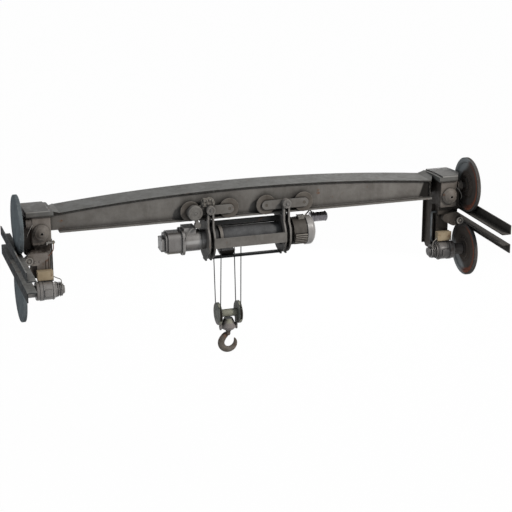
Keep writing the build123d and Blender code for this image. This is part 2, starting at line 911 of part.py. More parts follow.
def hanger(x, inward):
    """Pair of plates with pivots, spacers and, on the inner plate, the bore for the drum's shaft."""
    inner_x = x + inward * half_pair
    with BuildPart() as frame:
        for plate_x in (x - half_pair, x + half_pair):
            with BuildSketch(side_plane(plate_x - hanger_thickness / 2)) as outline:
                hanger_outline()
                corner_x = plate_x - hanger_thickness / 2
                corner_points = (
                    (corner_x, neck_back_y, arm_top_z),
                    (corner_x, 2 * girder_centre_y - neck_back_y, arm_top_z),
                    (corner_x, 2 * girder_centre_y - front_edge_y, arm_foot_z),
                    (corner_x, hoist_centre_y + ring_chord, arm_foot_z),
                )
                corners = [outline.vertices().sort_by_distance(point)[0] for point in corner_points]
                fillet(corners, hanger_corner_radius)
            extrude(amount=hanger_thickness)
        with BuildSketch(front_plane(link_front_y)):
            with Locations((x, pivot_z)):
                Circle(pivot_radius)
        extrude(amount=hanger_neck_gap + hanger_neck_width + pivot_head)
        with BuildSketch(front_plane(2 * girder_centre_y - link_front_y)):
            with Locations((x, pivot_z)):
                Circle(pivot_radius)
        extrude(amount=-(hanger_neck_gap + hanger_neck_width + pivot_head))
        with BuildSketch(side_plane(x - half_pair)):
            with Locations((hoist_centre_y, hoist_z - spacer_drop), (hoist_centre_y, hoist_z + spacer_drop)):
                Circle(spacer_radius)
        extrude(amount=hanger_plate_spacing)
        with BuildSketch(side_plane(inner_x - hanger_thickness)):
            with Locations((hoist_centre_y, hoist_z)):
                Circle(drum_shaft_radius + running_clearance)
        extrude(amount=2 * hanger_thickness, mode=Mode.SUBTRACT)
    return frame


left_hanger_x = hanger_x - hanger_spacing / 2
right_hanger_x = hanger_x + hanger_spacing / 2
write(hanger(left_hanger_x, 1), "hanger_left")
write(hanger(right_hanger_x, -1), "hanger_right")

# Bars and front shield between the two hangers
bay_start_x = left_hanger_x + half_pair + hanger_thickness / 2
bay_end_x = right_hanger_x - half_pair - hanger_thickness / 2
bay_length = bay_end_x - bay_start_x
top_bar_foot_z = hoist_z + top_bar_rise - top_bar_height / 2
with BuildPart() as hoist_bars:
    with BuildSketch(side_plane(bay_start_x)):
        with Locations((hoist_centre_y, hoist_z + top_bar_rise)):
            Rectangle(top_bar_width, top_bar_height)
        with Locations((hoist_centre_y, hoist_z - lower_bar_drop)):
            Rectangle(lower_bar_width, lower_bar_height)
    extrude(amount=bay_length)
    with BuildSketch(side_plane(bay_start_x - hanger_thickness)):
        with Locations((shield_back_y - shield_thickness / 2, hoist_z + shield_rise)):
            Rectangle(shield_thickness, shield_height)
    extrude(amount=bay_length + 2 * hanger_thickness)
write(hoist_bars, "hoist_bars")

# Rope drum: grooved barrel between two flanges, with a shaft end at each side
drum_start_x = bay_start_x + drum_end_gap
drum_end_x = bay_end_x - drum_end_gap
with BuildPart() as rope_drum:
    shaft_reach = hanger_thickness + drum_end_gap + drum_shaft_reach
    drum_outline = [
        (drum_start_x - shaft_reach, 0),
        (drum_start_x - shaft_reach, drum_shaft_radius),
        (drum_start_x, drum_shaft_radius),
        (drum_start_x, drum_flange_radius),
        (drum_start_x + drum_flange_width, drum_flange_radius),
        (drum_start_x + drum_flange_width, drum_radius),
        (drum_end_x - drum_flange_width, drum_radius),
        (drum_end_x - drum_flange_width, drum_flange_radius),
        (drum_end_x, drum_flange_radius),
        (drum_end_x, drum_shaft_radius),
        (drum_end_x + shaft_reach, drum_shaft_radius),
        (drum_end_x + shaft_reach, 0),
    ]
    add(turned(drum_outline, hoist_centre_y, hoist_z))
write(rope_drum, "rope_drum")

# Rope guide: a half ring over the drum that hangs from the top bar
guide_x = left_hanger_x + guide_offset
with BuildPart() as rope_guide:
    with BuildSketch(side_plane(guide_x - guide_width / 2)):
        with Locations((hoist_centre_y, hoist_z)):
            Circle(guide_radius)
        with Locations((hoist_centre_y, (hoist_z + top_bar_foot_z) / 2)):
            Rectangle(guide_ear_width, top_bar_foot_z - hoist_z)
        with Locations((hoist_centre_y, hoist_z)):
            Circle(drum_radius + guide_gap, mode=Mode.SUBTRACT)
        with Locations((hoist_centre_y, hoist_z + guide_foot_rise - guide_radius)):
            Rectangle(2 * guide_radius, 2 * guide_radius, mode=Mode.SUBTRACT)
    extrude(amount=guide_width)
write(rope_guide, "rope_guide")

# Return sheave block: a tapered housing on the back of the lower bar
block_x = left_hanger_x + block_offset
return_front_y = hoist_centre_y + lower_bar_width / 2
with BuildPart() as return_block:
    with BuildSketch(front_plane(return_front_y)):
        with BuildLine():
            Polyline(
                (block_x - return_width / 2, hoist_z - return_drop),
                (block_x + return_width / 2, hoist_z - return_drop),
                (block_x + return_foot_width / 2, hoist_z - return_drop - return_height),
                (block_x - return_foot_width / 2, hoist_z - return_drop - return_height),
                close=True,
            )
        make_face()
    extrude(amount=-return_depth)
write(return_block, "return_block")

# Hoist gearbox: round body with a box on top, a square flange, a rounded case, and a lid and end box
gear_start_x = left_hanger_x - half_pair - hanger_thickness / 2
gear_body_x = gear_start_x - gear_waist_length
gear_flange_x = gear_body_x - gear_body_length
gear_case_x = gear_flange_x - gear_flange_length
gear_lid_x = gear_case_x - gear_case_length
with BuildPart() as hoist_gearbox:
    gear_outline = [
        (gear_start_x, 0),
        (gear_start_x, gear_waist_radius),
        (gear_body_x, gear_waist_radius),
        (gear_body_x, gear_body_radius - gear_body_edge),
        (gear_body_x - gear_body_edge, gear_body_radius),
        (gear_flange_x, gear_body_radius),
        (gear_flange_x, 0),
    ]
    add(turned(gear_outline, hoist_centre_y, hoist_z))
    with BuildSketch(side_plane(gear_flange_x)):
        with Locations((hoist_centre_y, hoist_z + gear_box_rise / 2)):
            Rectangle(gear_box_width, gear_box_rise)
    extrude(amount=gear_box_length)
    with BuildSketch(side_plane(gear_flange_x)):
        with Locations((hoist_centre_y, hoist_z)):
            RectangleRounded(gear_flange_width, gear_flange_width, gear_flange_corner)
    extrude(amount=-gear_flange_length)
    with BuildSketch(side_plane(gear_case_x)):
        with Locations((hoist_centre_y, hoist_z)):
            RectangleRounded(gear_case_width, gear_case_height, gear_case_corner)
    extrude(amount=-gear_case_length)
    with BuildSketch(side_plane(gear_lid_x)):
        with Locations((hoist_centre_y, hoist_z)):
            RectangleRounded(gear_case_width - gear_lid_inset, gear_case_height - gear_lid_inset, gear_lid_corner)
    extrude(amount=-gear_lid_length)
    with BuildSketch(side_plane(gear_lid_x - gear_lid_length)):
        with Locations((hoist_centre_y, hoist_z - gear_end_drop)):
            RectangleRounded(gear_end_width, gear_end_height, gear_end_corner)
    extrude(amount=-gear_end_length)
write(hoist_gearbox, "hoist_gearbox")

# Hoist motor on a neck, with cooling grooves low in its front and back, and its domed fan cover
hanger_face_x = right_hanger_x + half_pair + hanger_thickness / 2
motor_start_x = hanger_face_x + motor_neck_length
motor_end_x = motor_start_x + hoist_motor_length
with BuildPart() as hoist_motor:
    with BuildSketch(side_plane(motor_start_x)):
        with Locations((hoist_centre_y, hoist_z)):
            Circle(hoist_motor_radius)
    extrude(amount=hoist_motor_length)
    with BuildSketch(side_plane(hanger_face_x)):
        with Locations((hoist_centre_y, hoist_z)):
            Circle(motor_neck_radius)
    extrude(amount=motor_neck_length)
    with BuildSketch(side_plane(motor_start_x + fin_margin)):
        for index in range(fin_slot_count):
            for turn in (front_angle + index * fin_slot_turn, -index * fin_slot_turn):
                with Locations((hoist_centre_y, hoist_z)):
                    with PolarLocations(hoist_motor_radius, 1, start_angle=turn):
                        Rectangle(2 * fin_depth, fin_slot_width)
    extrude(amount=hoist_motor_length - 2 * fin_margin, mode=Mode.SUBTRACT)
write(hoist_motor, "hoist_motor")

with BuildPart() as fan_cover:
    rim_x = motor_end_x + fan_cover_length
    with BuildSketch(front_plane(hoist_centre_y)):
        with BuildLine():
            Polyline(
                (rim_x + fan_dome_depth, hoist_z),
                (motor_end_x, hoist_z),
                (motor_end_x, hoist_z + fan_cover_radius),
                (rim_x, hoist_z + fan_cover_radius),
            )
            EllipticalCenterArc((rim_x, hoist_z), fan_dome_depth, fan_cover_radius, start_angle=0, arc_size=90)
        make_face()
    revolve(axis=axis_along_x(hoist_centre_y, hoist_z))
write(fan_cover, "fan_cover")

# Limit switch: a capped cylinder on a rod from the right hanger, with a collar on the rod
with BuildPart() as limit_switch:
    collar_x = motor_start_x + limit_collar_start
    can_x = motor_start_x + limit_start
    limit_z = at_height(limit_rise)
    limit_outline = [
        (hanger_face_x, 0),
        (hanger_face_x, limit_rod_radius),
        (collar_x, limit_rod_radius),
        (collar_x, limit_collar_radius),
        (collar_x + limit_collar_length, limit_collar_radius),
        (collar_x + limit_collar_length, limit_rod_radius),
        (can_x, limit_rod_radius),
        (can_x, limit_radius - limit_edge),
        (can_x + limit_edge, limit_radius),
        (can_x + limit_length - limit_edge, limit_radius),
        (can_x + limit_length, limit_radius - limit_edge),
        (can_x + limit_length, 0),
    ]
    add(turned(limit_outline, limit_y, limit_z))
write(limit_switch, "limit_switch")

# Trolley travel drive: a round cover, and a pinion cap on an arm below it
travel_x = trolley_x - travel_offset
travel_z = at_height(travel_rise)
with BuildPart() as travel_drive:
    with BuildSketch(front_plane(link_front_y)):
        with Locations((travel_x, travel_z)):
            Circle(travel_radius)
    extrude(amount=travel_depth)
    fillet(travel_drive.faces().sort_by(Axis.Y)[0].edges(), travel_edge)
    pinion_x = travel_x + pinion_shift
    pinion_z = travel_z - pinion_drop
    with BuildSketch(front_plane(link_front_y)):
        with Locations((pinion_x, pinion_z)):
            Circle(pinion_radius)
        with BuildLine():
            Polyline(
                (travel_x - travel_arm_width / 2, travel_z),
                (travel_x + travel_arm_width / 2, travel_z),
                (pinion_x + travel_arm_width / 2, pinion_z),
                (pinion_x - travel_arm_width / 2, pinion_z),
                close=True,
            )
        make_face()
    extrude(amount=pinion_depth)
write(travel_drive, "travel_drive")

# Rope falls: each runs from the side of the drum down to a sheave, with a slight lean
block_z = hoist_z - block_drop
sheave_xs = (block_x - sheave_spacing / 2, block_x + sheave_spacing / 2)
fall_top_reach = drum_radius + rope_radius + rope_drum_gap
falls = (
    (sheave_xs[0], 1, rear_left_lead),
    (sheave_xs[0], -1, front_left_lead),
    (sheave_xs[1], 1, rear_right_lead),
    (sheave_xs[1], -1, front_right_lead),
)
with BuildPart() as rope_falls:
    for sheave_x, side, lead in falls:
        with BuildSketch(Plane.XY.offset(hoist_z)):
            with Locations((sheave_x + lead, hoist_centre_y + side * fall_top_reach)):
                Circle(rope_radius)
        with BuildSketch(Plane.XY.offset(block_z)):
            with Locations((sheave_x, hoist_centre_y + side * sheave_pitch_radius)):
                Circle(rope_radius)
        loft()
write(rope_falls, "rope_falls")

# Hook block: two slotted sheave housings on a tube, and a barrel-shaped crosshead between two straps
crosshead_foot_z = block_z - crosshead_foot_drop
trunnion_z = block_z - crosshead_wide_drop
with BuildPart() as hook_block:
    for sheave_x in sheave_xs:
        with BuildSketch(side_plane(sheave_x - sheave_housing_width / 2)):
            with Locations((hoist_centre_y, block_z)):
                Circle(sheave_housing_radius)
        extrude(amount=sheave_housing_width)
    rims = hook_block.edges().filter_by(GeomType.CIRCLE)
    chamfer(rims, housing_edge)
    with BuildSketch(side_plane(sheave_xs[0])):
        with Locations((hoist_centre_y, block_z)):
            Circle(block_tube_radius)
    extrude(amount=sheave_spacing)
    with BuildSketch(Plane.XY.offset(block_z)):
        for sheave_x in sheave_xs:
            for side in (-1, 1):
                with Locations((sheave_x, hoist_centre_y + side * sheave_pitch_radius)):
                    Rectangle(sheave_slot_width, sheave_slot_depth)
    extrude(amount=sheave_housing_radius, mode=Mode.SUBTRACT)
    strap_reach = (sheave_spacing - sheave_housing_width) / 2
    for strap_x in (block_x - strap_reach, block_x + strap_reach - strap_thickness):
        with BuildSketch(side_plane(strap_x)):
            with Locations((hoist_centre_y, block_z - strap_drop / 2)):
                SlotCenterToCenter(strap_drop, strap_width, rotation=strap_angle)
        extrude(amount=strap_thickness)
    with BuildSketch(side_plane(block_x - strap_reach)):
        with Locations((hoist_centre_y, trunnion_z)):
            Circle(crosshead_foot_radius)
    extrude(amount=2 * strap_reach)
    with BuildSketch(front_plane(hoist_centre_y)):
        with BuildLine():
            Polyline(
                (block_x, crosshead_foot_z),
                (block_x, block_z - crosshead_top_drop),
                (block_x + crosshead_top_radius, block_z - crosshead_top_drop),
            )
            ThreePointArc(
                (block_x + crosshead_top_radius, block_z - crosshead_top_drop),
                (block_x + crosshead_bulge_radius, block_z - crosshead_bulge_drop),
                (block_x + crosshead_radius, trunnion_z),
            )
            ThreePointArc(
                (block_x + crosshead_radius, trunnion_z),
                (block_x + crosshead_heel_radius, block_z - crosshead_heel_drop),
                (block_x + crosshead_foot_radius, crosshead_foot_z),
            )
            Line((block_x + crosshead_foot_radius, crosshead_foot_z), (block_x, crosshead_foot_z))
        make_face()
    revolve(axis=Axis((block_x, hoist_centre_y, 0), (0, 0, 1)))
    with BuildSketch(Plane.XY.offset(crosshead_foot_z)):
        with Locations((block_x, hoist_centre_y)):
            Circle(hook_shank_radius + running_clearance)
    extrude(amount=hook_shank_length + hook_shank_gap, mode=Mode.SUBTRACT)
write(hook_block, "hook_block")

# Hook: a shank with a collar, and a bowl that is deep at the back and thins to the tip
bowl_centre = (block_x - hook_bowl_shift, crosshead_foot_z - hook_bowl_drop)
neck_foot = (block_x, crosshead_foot_z - hook_neck_length)
section_depths = (2 * hook_shank_radius, hook_body_depth, hook_foot_depth, hook_thin_depth, hook_tip_depth)
with BuildPart() as hook:
    with BuildSketch(Plane.XY.offset(crosshead_foot_z + hook_shank_length)):
        with Locations((block_x, hoist_centre_y)):
            Circle(hook_shank_radius)
    extrude(amount=-(hook_shank_length + hook_neck_length))
    with BuildSketch(Plane.XY.offset(crosshead_foot_z - hook_collar_gap)):
        with Locations((block_x, hoist_centre_y)):
            Circle(hook_collar_radius)
    extrude(amount=-hook_collar_height)
    with BuildLine(front_plane(hoist_centre_y)) as path:
        bowl = CenterArc(bowl_centre, hook_spine_radius, hook_start_angle, hook_sweep_angle)
        Spline(neck_foot, bowl @ 0, tangents=[(-hook_lean_share, -1), bowl % 0])
    spine = path.wires()[0]
    for share, depth in zip(hook_section_shares, section_depths):
        along = spine % share
        with BuildSketch(Plane(origin=spine @ share, x_dir=along.cross(Vector(0, 1, 0)), z_dir=along)):
            Ellipse(depth / 2, depth / 2 * hook_flat_share)
    sweep(path=spine, multisection=True)
write(hook, "hook")
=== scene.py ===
import bpy
import bmesh
import json
import math
from mathutils import Matrix, Vector

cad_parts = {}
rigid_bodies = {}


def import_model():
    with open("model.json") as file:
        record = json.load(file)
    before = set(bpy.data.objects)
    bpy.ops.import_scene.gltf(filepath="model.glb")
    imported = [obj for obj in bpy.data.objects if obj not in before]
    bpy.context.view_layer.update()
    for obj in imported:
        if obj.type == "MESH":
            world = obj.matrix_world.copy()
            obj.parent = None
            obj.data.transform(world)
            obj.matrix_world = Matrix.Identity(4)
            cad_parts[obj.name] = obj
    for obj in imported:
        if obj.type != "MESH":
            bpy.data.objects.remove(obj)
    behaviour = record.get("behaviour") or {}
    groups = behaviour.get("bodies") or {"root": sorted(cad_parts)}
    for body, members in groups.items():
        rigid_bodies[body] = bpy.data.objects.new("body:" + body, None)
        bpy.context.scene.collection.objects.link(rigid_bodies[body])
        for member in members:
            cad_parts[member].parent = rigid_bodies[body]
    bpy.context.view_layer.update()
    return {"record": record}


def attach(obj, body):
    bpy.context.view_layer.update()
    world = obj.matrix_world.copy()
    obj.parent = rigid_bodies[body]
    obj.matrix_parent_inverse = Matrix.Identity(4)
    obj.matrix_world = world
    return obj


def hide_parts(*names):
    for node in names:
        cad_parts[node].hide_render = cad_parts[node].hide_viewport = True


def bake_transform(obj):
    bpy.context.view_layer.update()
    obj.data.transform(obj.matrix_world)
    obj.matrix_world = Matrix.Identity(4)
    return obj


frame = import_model()

scene = bpy.context.scene


# Camera, solved from the photograph: focal length in pixels, place in metres, angles in degrees

PHOTO_WIDTH = 512.0
FOCAL_PIXELS = 1463.5
SENSOR_WIDTH = 36.0
CAMERA_PLACE = (-1.957, -14.105, 4.482)
CAMERA_DOWN = 17.96
CAMERA_TURN = 17.87

camera_data = bpy.data.cameras.new("camera")
camera = bpy.data.objects.new("camera", camera_data)
scene.collection.objects.link(camera)
camera_data.sensor_width = SENSOR_WIDTH
camera_data.lens = SENSOR_WIDTH * FOCAL_PIXELS / PHOTO_WIDTH
camera_data.clip_end = 200.0
camera.location = CAMERA_PLACE
camera.rotation_euler = (math.radians(90.0 - CAMERA_DOWN), 0.0, math.radians(-CAMERA_TURN))
scene.camera = camera


# Places that the details share, in metres

MIDDLE_X = 2.555
COVER_X = 0.304
COVER_Z = 0.163
LOWER_AXLE_Z = -0.4663
UPPER_AXLE_Z = 0.2623
TROLLEY_AXLE_Z = 0.2423
LINK_REAR_Y = 0.445
PIVOT_Z = 0.2573
PIVOT_XS = (2.068, 2.900)
WEB_FRONT_Y = 0.045
WEB_REAR_Y = 0.355
TRACK_TOP_Z = 0.152
ARCH_RADIUS = 20.415
ARCH_TOP_Z = 0.4388
TOP_PLATE = 0.015
WEB_CUT_X = 4.471
WEB_CUT_SLOPE = 0.33
HOIST_Y = 0.050
HOIST_Z = -0.092
SWITCH_Y = 0.215
SWITCH_Z = -0.012
TRAVEL_DRIVE = (1.903, -0.103, 0.237)
SHEAVE_XS = (2.180, 2.406)


# Materials: aged paint or metal. The colour is mottled, with fine grain, painted shade in corners and in sheltered
# places, and pale edges that are partly wear and partly painted highlight

# Sockets of the Mix node when it mixes colours
MIX_FACTOR = 0
MIX_FIRST = 6
MIX_SECOND = 7
MIX_RESULT = 2


class Nodes:
    """Short ways to add and join shader nodes."""

    def __init__(self, name):
        self.material = bpy.data.materials.new(name)
        self.material.use_nodes = True
        self.tree = self.material.node_tree
        self.shader = self.tree.nodes["Principled BSDF"]
        self.place = self.add("ShaderNodeTexCoord").outputs["Object"]
        self.parts = None

    def add(self, kind, **values):
        node = self.tree.nodes.new(kind)
        for key, value in values.items():
            setattr(node, key, value)
        return node

    def join(self, source, target):
        self.tree.links.new(source, target)

    def put(self, value, target):
        if isinstance(value, (int, float)):
            target.default_value = value
        elif isinstance(value, tuple):
            target.default_value = (*value, 1.0)
        else:
            self.join(value, target)

    def noise(self, scale, detail, roughness=0.6, stretch=(1.0, 1.0, 1.0)):
        mapping = self.add("ShaderNodeMapping")
        mapping.inputs["Scale"].default_value = stretch
        self.join(self.place, mapping.inputs["Vector"])
        node = self.add("ShaderNodeTexNoise")
        node.inputs["Scale"].default_value = scale
        node.inputs["Detail"].default_value = detail
        node.inputs["Roughness"].default_value = roughness
        self.join(mapping.outputs["Vector"], node.inputs["Vector"])
        return node.outputs["Fac"]

    def ramp(self, source, low, high, low_value=0.0, high_value=1.0):
        node = self.add("ShaderNodeMapRange")
        node.inputs["From Min"].default_value = low
        node.inputs["From Max"].default_value = high
        node.inputs["To Min"].default_value = low_value
        node.inputs["To Max"].default_value = high_value
        self.join(source, node.inputs["Value"])
        return node.outputs["Result"]

    def blend(self, factor, first, second):
        node = self.add("ShaderNodeMix", data_type="RGBA")
        self.put(first, node.inputs[MIX_FIRST])
        self.put(second, node.inputs[MIX_SECOND])
        self.put(factor, node.inputs[MIX_FACTOR])
        return node.outputs[MIX_RESULT]

    def math(self, operation, first, second):
        node = self.add("ShaderNodeMath", operation=operation)
        self.put(first, node.inputs[0])
        self.put(second, node.inputs[1])
        return node.outputs[0]

    def times(self, first, second):
        return self.math("MULTIPLY", first, second)

    def coordinate(self, axis):
        if self.parts is None:
            self.parts = self.add("ShaderNodeSeparateXYZ")
            self.join(self.place, self.parts.inputs[0])
        return self.parts.outputs[axis]

    def along(self, axis, low, high, low_value=0.0, high_value=1.0):
        """A ramp between two places on an axis."""
        return self.ramp(self.coordinate(axis), low, high, low_value, high_value)

    def facing(self, axis):
        """The object-space normal's share along X, Y or Z."""
        split = self.add("ShaderNodeSeparateXYZ")
        self.join(self.add("ShaderNodeTexCoord").outputs["Normal"], split.inputs[0])
        return split.outputs[axis]

    def occlusion(self, distance):
        node = self.add("ShaderNodeAmbientOcclusion", samples=8)
        node.inputs["Distance"].default_value = distance
        return node.outputs["AO"]

    def radius(self, centre_y, centre_z):
        """Distance from an axis along X."""
        across = self.math("SUBTRACT", self.coordinate("Y"), centre_y)
        above = self.math("SUBTRACT", self.coordinate("Z"), centre_z)
        return self.math("SQRT", self.math("ADD", self.times(across, across), self.times(above, above)), 0.0)

    def off(self, value, centre):
        """How far a value lies from a centre, either way."""
        return self.math("ABSOLUTE", self.math("SUBTRACT", value, centre), 0.0)


# Reach of the pale edges (wear and painted highlight), of the painted shade in corners and in sheltered places, and
# the depth of the grain
EDGE_RADIUS = 0.006
CORNER_REACH = 0.06
SHELTER_REACH = 0.45
GRAIN = 0.15
GRAIN_DEPTH = 0.002

# Colours of painted shade, shadow and light, and of oil, rust, grooves and other marks
SHELTER_SHADE_COLOUR = (0.010, 0.009, 0.008)
RUST = (0.120, 0.055, 0.030)
DEEP_SHADE = (0.012, 0.010, 0.009)
WEB_SHADOW = (0.007, 0.006, 0.005)
BAR_OIL = (0.016, 0.018, 0.020)
HANGER_OIL = (0.018, 0.017, 0.016)
CAP_HIGHLIGHT = (0.36, 0.35, 0.335)
CAP_SHADOW = (0.030, 0.027, 0.024)
BRACKET_DARK = (0.024, 0.018, 0.014)
DRUM_GREASE = (0.020, 0.020, 0.020)
BOX_SHADE = (0.026, 0.020, 0.017)
DOME_GROOVE = (0.045, 0.042, 0.040)
CROSSHEAD_IRON = (0.200, 0.180, 0.174)
SLOT_LIP = (0.270, 0.268, 0.215)
SLOT_SHADE = (0.010, 0.008, 0.006)
HUB_BROWN = (0.060, 0.048, 0.040)
DISC_BROWN = (0.078, 0.064, 0.054)
DISC_LIT = (0.300, 0.315, 0.320)
RIM_RUST = (0.190, 0.068, 0.042)
CASE_GROOVE = (0.020, 0.019, 0.020)
CASE_GREY = (0.090, 0.085, 0.082)
CASE_HIGHLIGHT = (0.520, 0.515, 0.510)
CASE_SHADE = (0.024, 0.019, 0.016)
CASE_OIL = (0.20, 0.17, 0.05)

# Middles of the dark lines and grooves
POST_LINE_XS = (0.352, 0.384)
CASE_GROOVE_XS = (1.5905, 1.6150)
DOME_GROOVE_RADII = (0.052, 0.094, 0.132)


def worn_and_shaded(name, base, dark, bright, rust_low=0.62, rust_high=0.72, roughness=0.5, metallic=0.0, specular=0.10,
         scale=6.0, edge=1.0, corner_shade=0.75, shelter_shade=0.9, dust=0.0, zone=None):
    """Aged paint or unpainted metal, with painted shade. zone(nodes, colour) may paint more before the rust, the
    pale edges and the painted shade go on.
    """
    m = Nodes(name)
    colour = m.blend(m.ramp(m.noise(scale, 8.0, 0.65), 0.35, 0.65), base, dark)
    streaks = m.ramp(m.noise(3.0, 5.0, 0.6, (4.0, 4.0, 0.5)), 0.50, 0.78, 0.0, 0.30)
    colour = m.blend(streaks, colour, bright)
    specks = m.ramp(m.noise(70.0, 3.0, 0.7), 0.56, 0.72, 0.0, 0.5)
    colour = m.blend(specks, colour, dark)
    if dust:
        top = m.ramp(m.facing("Z"), 0.6, 0.95, 0.0, dust)
        colour = m.blend(m.times(top, m.ramp(m.noise(12.0, 6.0), 0.3, 0.6, 0.5, 1.0)), colour, bright)
    if zone:
        colour = zone(m, colour)
    patch = m.ramp(m.noise(9.0, 9.0, 0.7), rust_low, rust_high)
    colour = m.blend(patch, colour, RUST)
    # Pale edges: partly wear, partly painted highlight
    bevel = m.add("ShaderNodeBevel", samples=4)
    bevel.inputs["Radius"].default_value = EDGE_RADIUS
    geometry = m.add("ShaderNodeNewGeometry")
    turn = m.add("ShaderNodeVectorMath", operation="DOT_PRODUCT")
    m.join(bevel.outputs["Normal"], turn.inputs[0])
    m.join(geometry.outputs["Normal"], turn.inputs[1])
    edges = m.ramp(turn.outputs["Value"], 0.995, 0.93, 0.0, 0.8 * edge)
    colour = m.blend(m.times(edges, m.ramp(m.noise(40.0, 4.0), 0.40, 0.62)), colour, bright)
    # Painted shade: darker in corners and in sheltered places, by ambient occlusion
    corner_shade_colour = tuple(share * 0.25 for share in dark)
    colour = m.blend(m.ramp(m.occlusion(CORNER_REACH), 0.30, 0.92, corner_shade, 0.0), colour, corner_shade_colour)
    colour = m.blend(m.ramp(m.occlusion(SHELTER_REACH), 0.18, 0.80, shelter_shade, 0.0), colour, SHELTER_SHADE_COLOUR)
    m.join(colour, m.shader.inputs["Base Color"])
    dullness = m.ramp(m.noise(25.0, 5.0), 0.3, 0.7, roughness - 0.08, roughness + 0.14)
    m.join(dullness, m.shader.inputs["Roughness"])
    m.shader.inputs["Metallic"].default_value = metallic
    m.shader.inputs["Specular IOR Level"].default_value = specular
    bump = m.add("ShaderNodeBump")
    bump.inputs["Strength"].default_value = GRAIN
    bump.inputs["Distance"].default_value = GRAIN_DEPTH
    m.join(m.noise(120.0, 4.0, 0.7), bump.inputs["Height"])
    m.join(bump.outputs["Normal"], m.shader.inputs["Normal"])
    return m.material


def shadowed_web(m, colour):
    """Painted shadows at the two cut corners of the web, the front right one and the rear left one."""
    slope = m.times(m.math("SUBTRACT", m.coordinate("Z"), TRACK_TOP_Z), WEB_CUT_SLOPE)
    front = m.math("SUBTRACT", m.math("SUBTRACT", m.coordinate("X"), WEB_CUT_X), slope)
    rear = m.math("SUBTRACT", m.math("SUBTRACT", 2 * MIDDLE_X - WEB_CUT_X, m.coordinate("X")), slope)
    near = m.times(m.ramp(front, -0.004, 0.012), m.along("Y", 0.21, 0.20))
    far = m.times(m.ramp(rear, -0.004, 0.012), m.along("Y", 0.19, 0.20))
    return m.blend(m.times(m.math("ADD", near, far), 0.97), colour, WEB_SHADOW)


def dark_bars(m, colour):
    """The bars above and below the front shield are nearly black with oil."""
    low = m.along("Z", -0.25, -0.27)
    high = m.along("Z", 0.01, 0.03)
    return m.blend(m.times(m.math("ADD", low, high), 0.93), colour, BAR_OIL)


def oily_foot(m, colour):
    """The hangers darken towards their lower rings."""
    return m.blend(m.along("Z", -0.10, -0.24, 0.0, 0.85), colour, HANGER_OIL)


def shaded_plate_edge(m, colour):
    """Painted shadow: the long front edge of the top plate is near-black."""
    return m.blend(m.ramp(m.facing("Y"), -0.6, -0.9, 0.0, 0.92), colour, DEEP_SHADE)


def lit_and_shaded_cap(m, colour):
    """A painted highlight along the lid's upper front edge and a painted shadow under it."""
    front = m.ramp(m.facing("Y"), -0.6, -0.9)
    pale = m.times(front, m.along("Z", 0.380, 0.386, 0.0, 0.6))
    dark = m.times(front, m.along("Z", 0.346, 0.338, 0.0, 0.8))
    return m.blend(dark, m.blend(pale, colour, CAP_HIGHLIGHT), CAP_SHADOW)


def shaded_bracket(m, colour):
    """Painted shadow under the end box, and two dark lines down the post."""
    under = m.times(m.along("Z", -0.062, -0.048), m.ramp(m.noise(14.0, 5.0), 0.35, 0.55, 0.45, 0.95))
    post = m.along("Z", -0.120, -0.150)
    lines = 0.0
    for centre in POST_LINE_XS:
        off = m.off(m.coordinate("X"), centre)
        lines = m.math("ADD", lines, m.ramp(off, 0.008, 0.004, 0.0, 0.8))
    return m.blend(m.math("MAXIMUM", under, m.times(lines, post)), colour, BRACKET_DARK)


def wound(m, colour):
    """Wire rope laid side by side round the drum, thick with grease."""
    bands = m.add("ShaderNodeTexWave", wave_type="BANDS", bands_direction="X")
    bands.inputs["Scale"].default_value = 26.0
    bands.inputs["Distortion"].default_value = 0.4
    m.join(m.place, bands.inputs["Vector"])
    return m.blend(m.ramp(bands.outputs["Fac"], 0.2, 0.8, 0.0, 0.7), colour, DRUM_GREASE)


def shaded_inner_side(inward):
    """Painted shade: an end box is dark on the side that faces the girder, and low on its front."""
    def paint_side(m, colour):
        side = m.ramp(m.times(m.facing("X"), inward), 0.5, 0.9, 0.0, 0.85)
        low = m.times(m.along("Z", 0.085, 0.030), m.ramp(m.noise(11.0, 6.0), 0.35, 0.60, 0.55, 0.85))
        return m.blend(m.math("MAXIMUM", side, low), colour, BOX_SHADE)
    return paint_side


def finned_motor(m, colour):
    """Painted shade: the motor is nearly black between its lower cooling ribs."""
    return m.blend(m.along("Z", -0.078, -0.086, 0.0, 0.93), colour, DEEP_SHADE)


def ringed_dome(m, colour):
    """Dark grooves round the fan cover's dome."""
    across = m.radius(HOIST_Y, HOIST_Z)
    dome = m.along("X", 3.190, 3.194)
    for centre in DOME_GROOVE_RADII:
        off = m.off(across, centre)
        colour = m.blend(m.times(m.ramp(off, 0.0055, 0.003), m.times(dome, 0.8)), colour, DOME_GROOVE)
    return colour


def slotted_block(m, colour):
    """Painted shade for the rope slots in the sheave housings, paler lips, and browner iron at the crosshead."""
    low = m.along("Z", -1.015, -1.030)
    colour = m.blend(low, colour, CROSSHEAD_IRON)
    height = m.times(m.along("Z", -1.004, -0.998), m.along("Z", -0.868, -0.874))
    turned_rim = m.ramp(m.math("ABSOLUTE", m.facing("X"), 0.0), 0.6, 0.4)
    lips = m.times(turned_rim, m.ramp(m.facing("Y"), -0.1, -0.4, 0.0, 0.75))
    colour = m.blend(m.times(lips, m.along("Z", -1.060, -1.040)), colour, SLOT_LIP)
    for centre in SHEAVE_XS:
        off = m.off(m.coordinate("X"), centre)
        slot = m.times(m.ramp(off, 0.0145, 0.0130), m.times(height, turned_rim))
        colour = m.blend(slot, colour, SLOT_SHADE)
    return colour


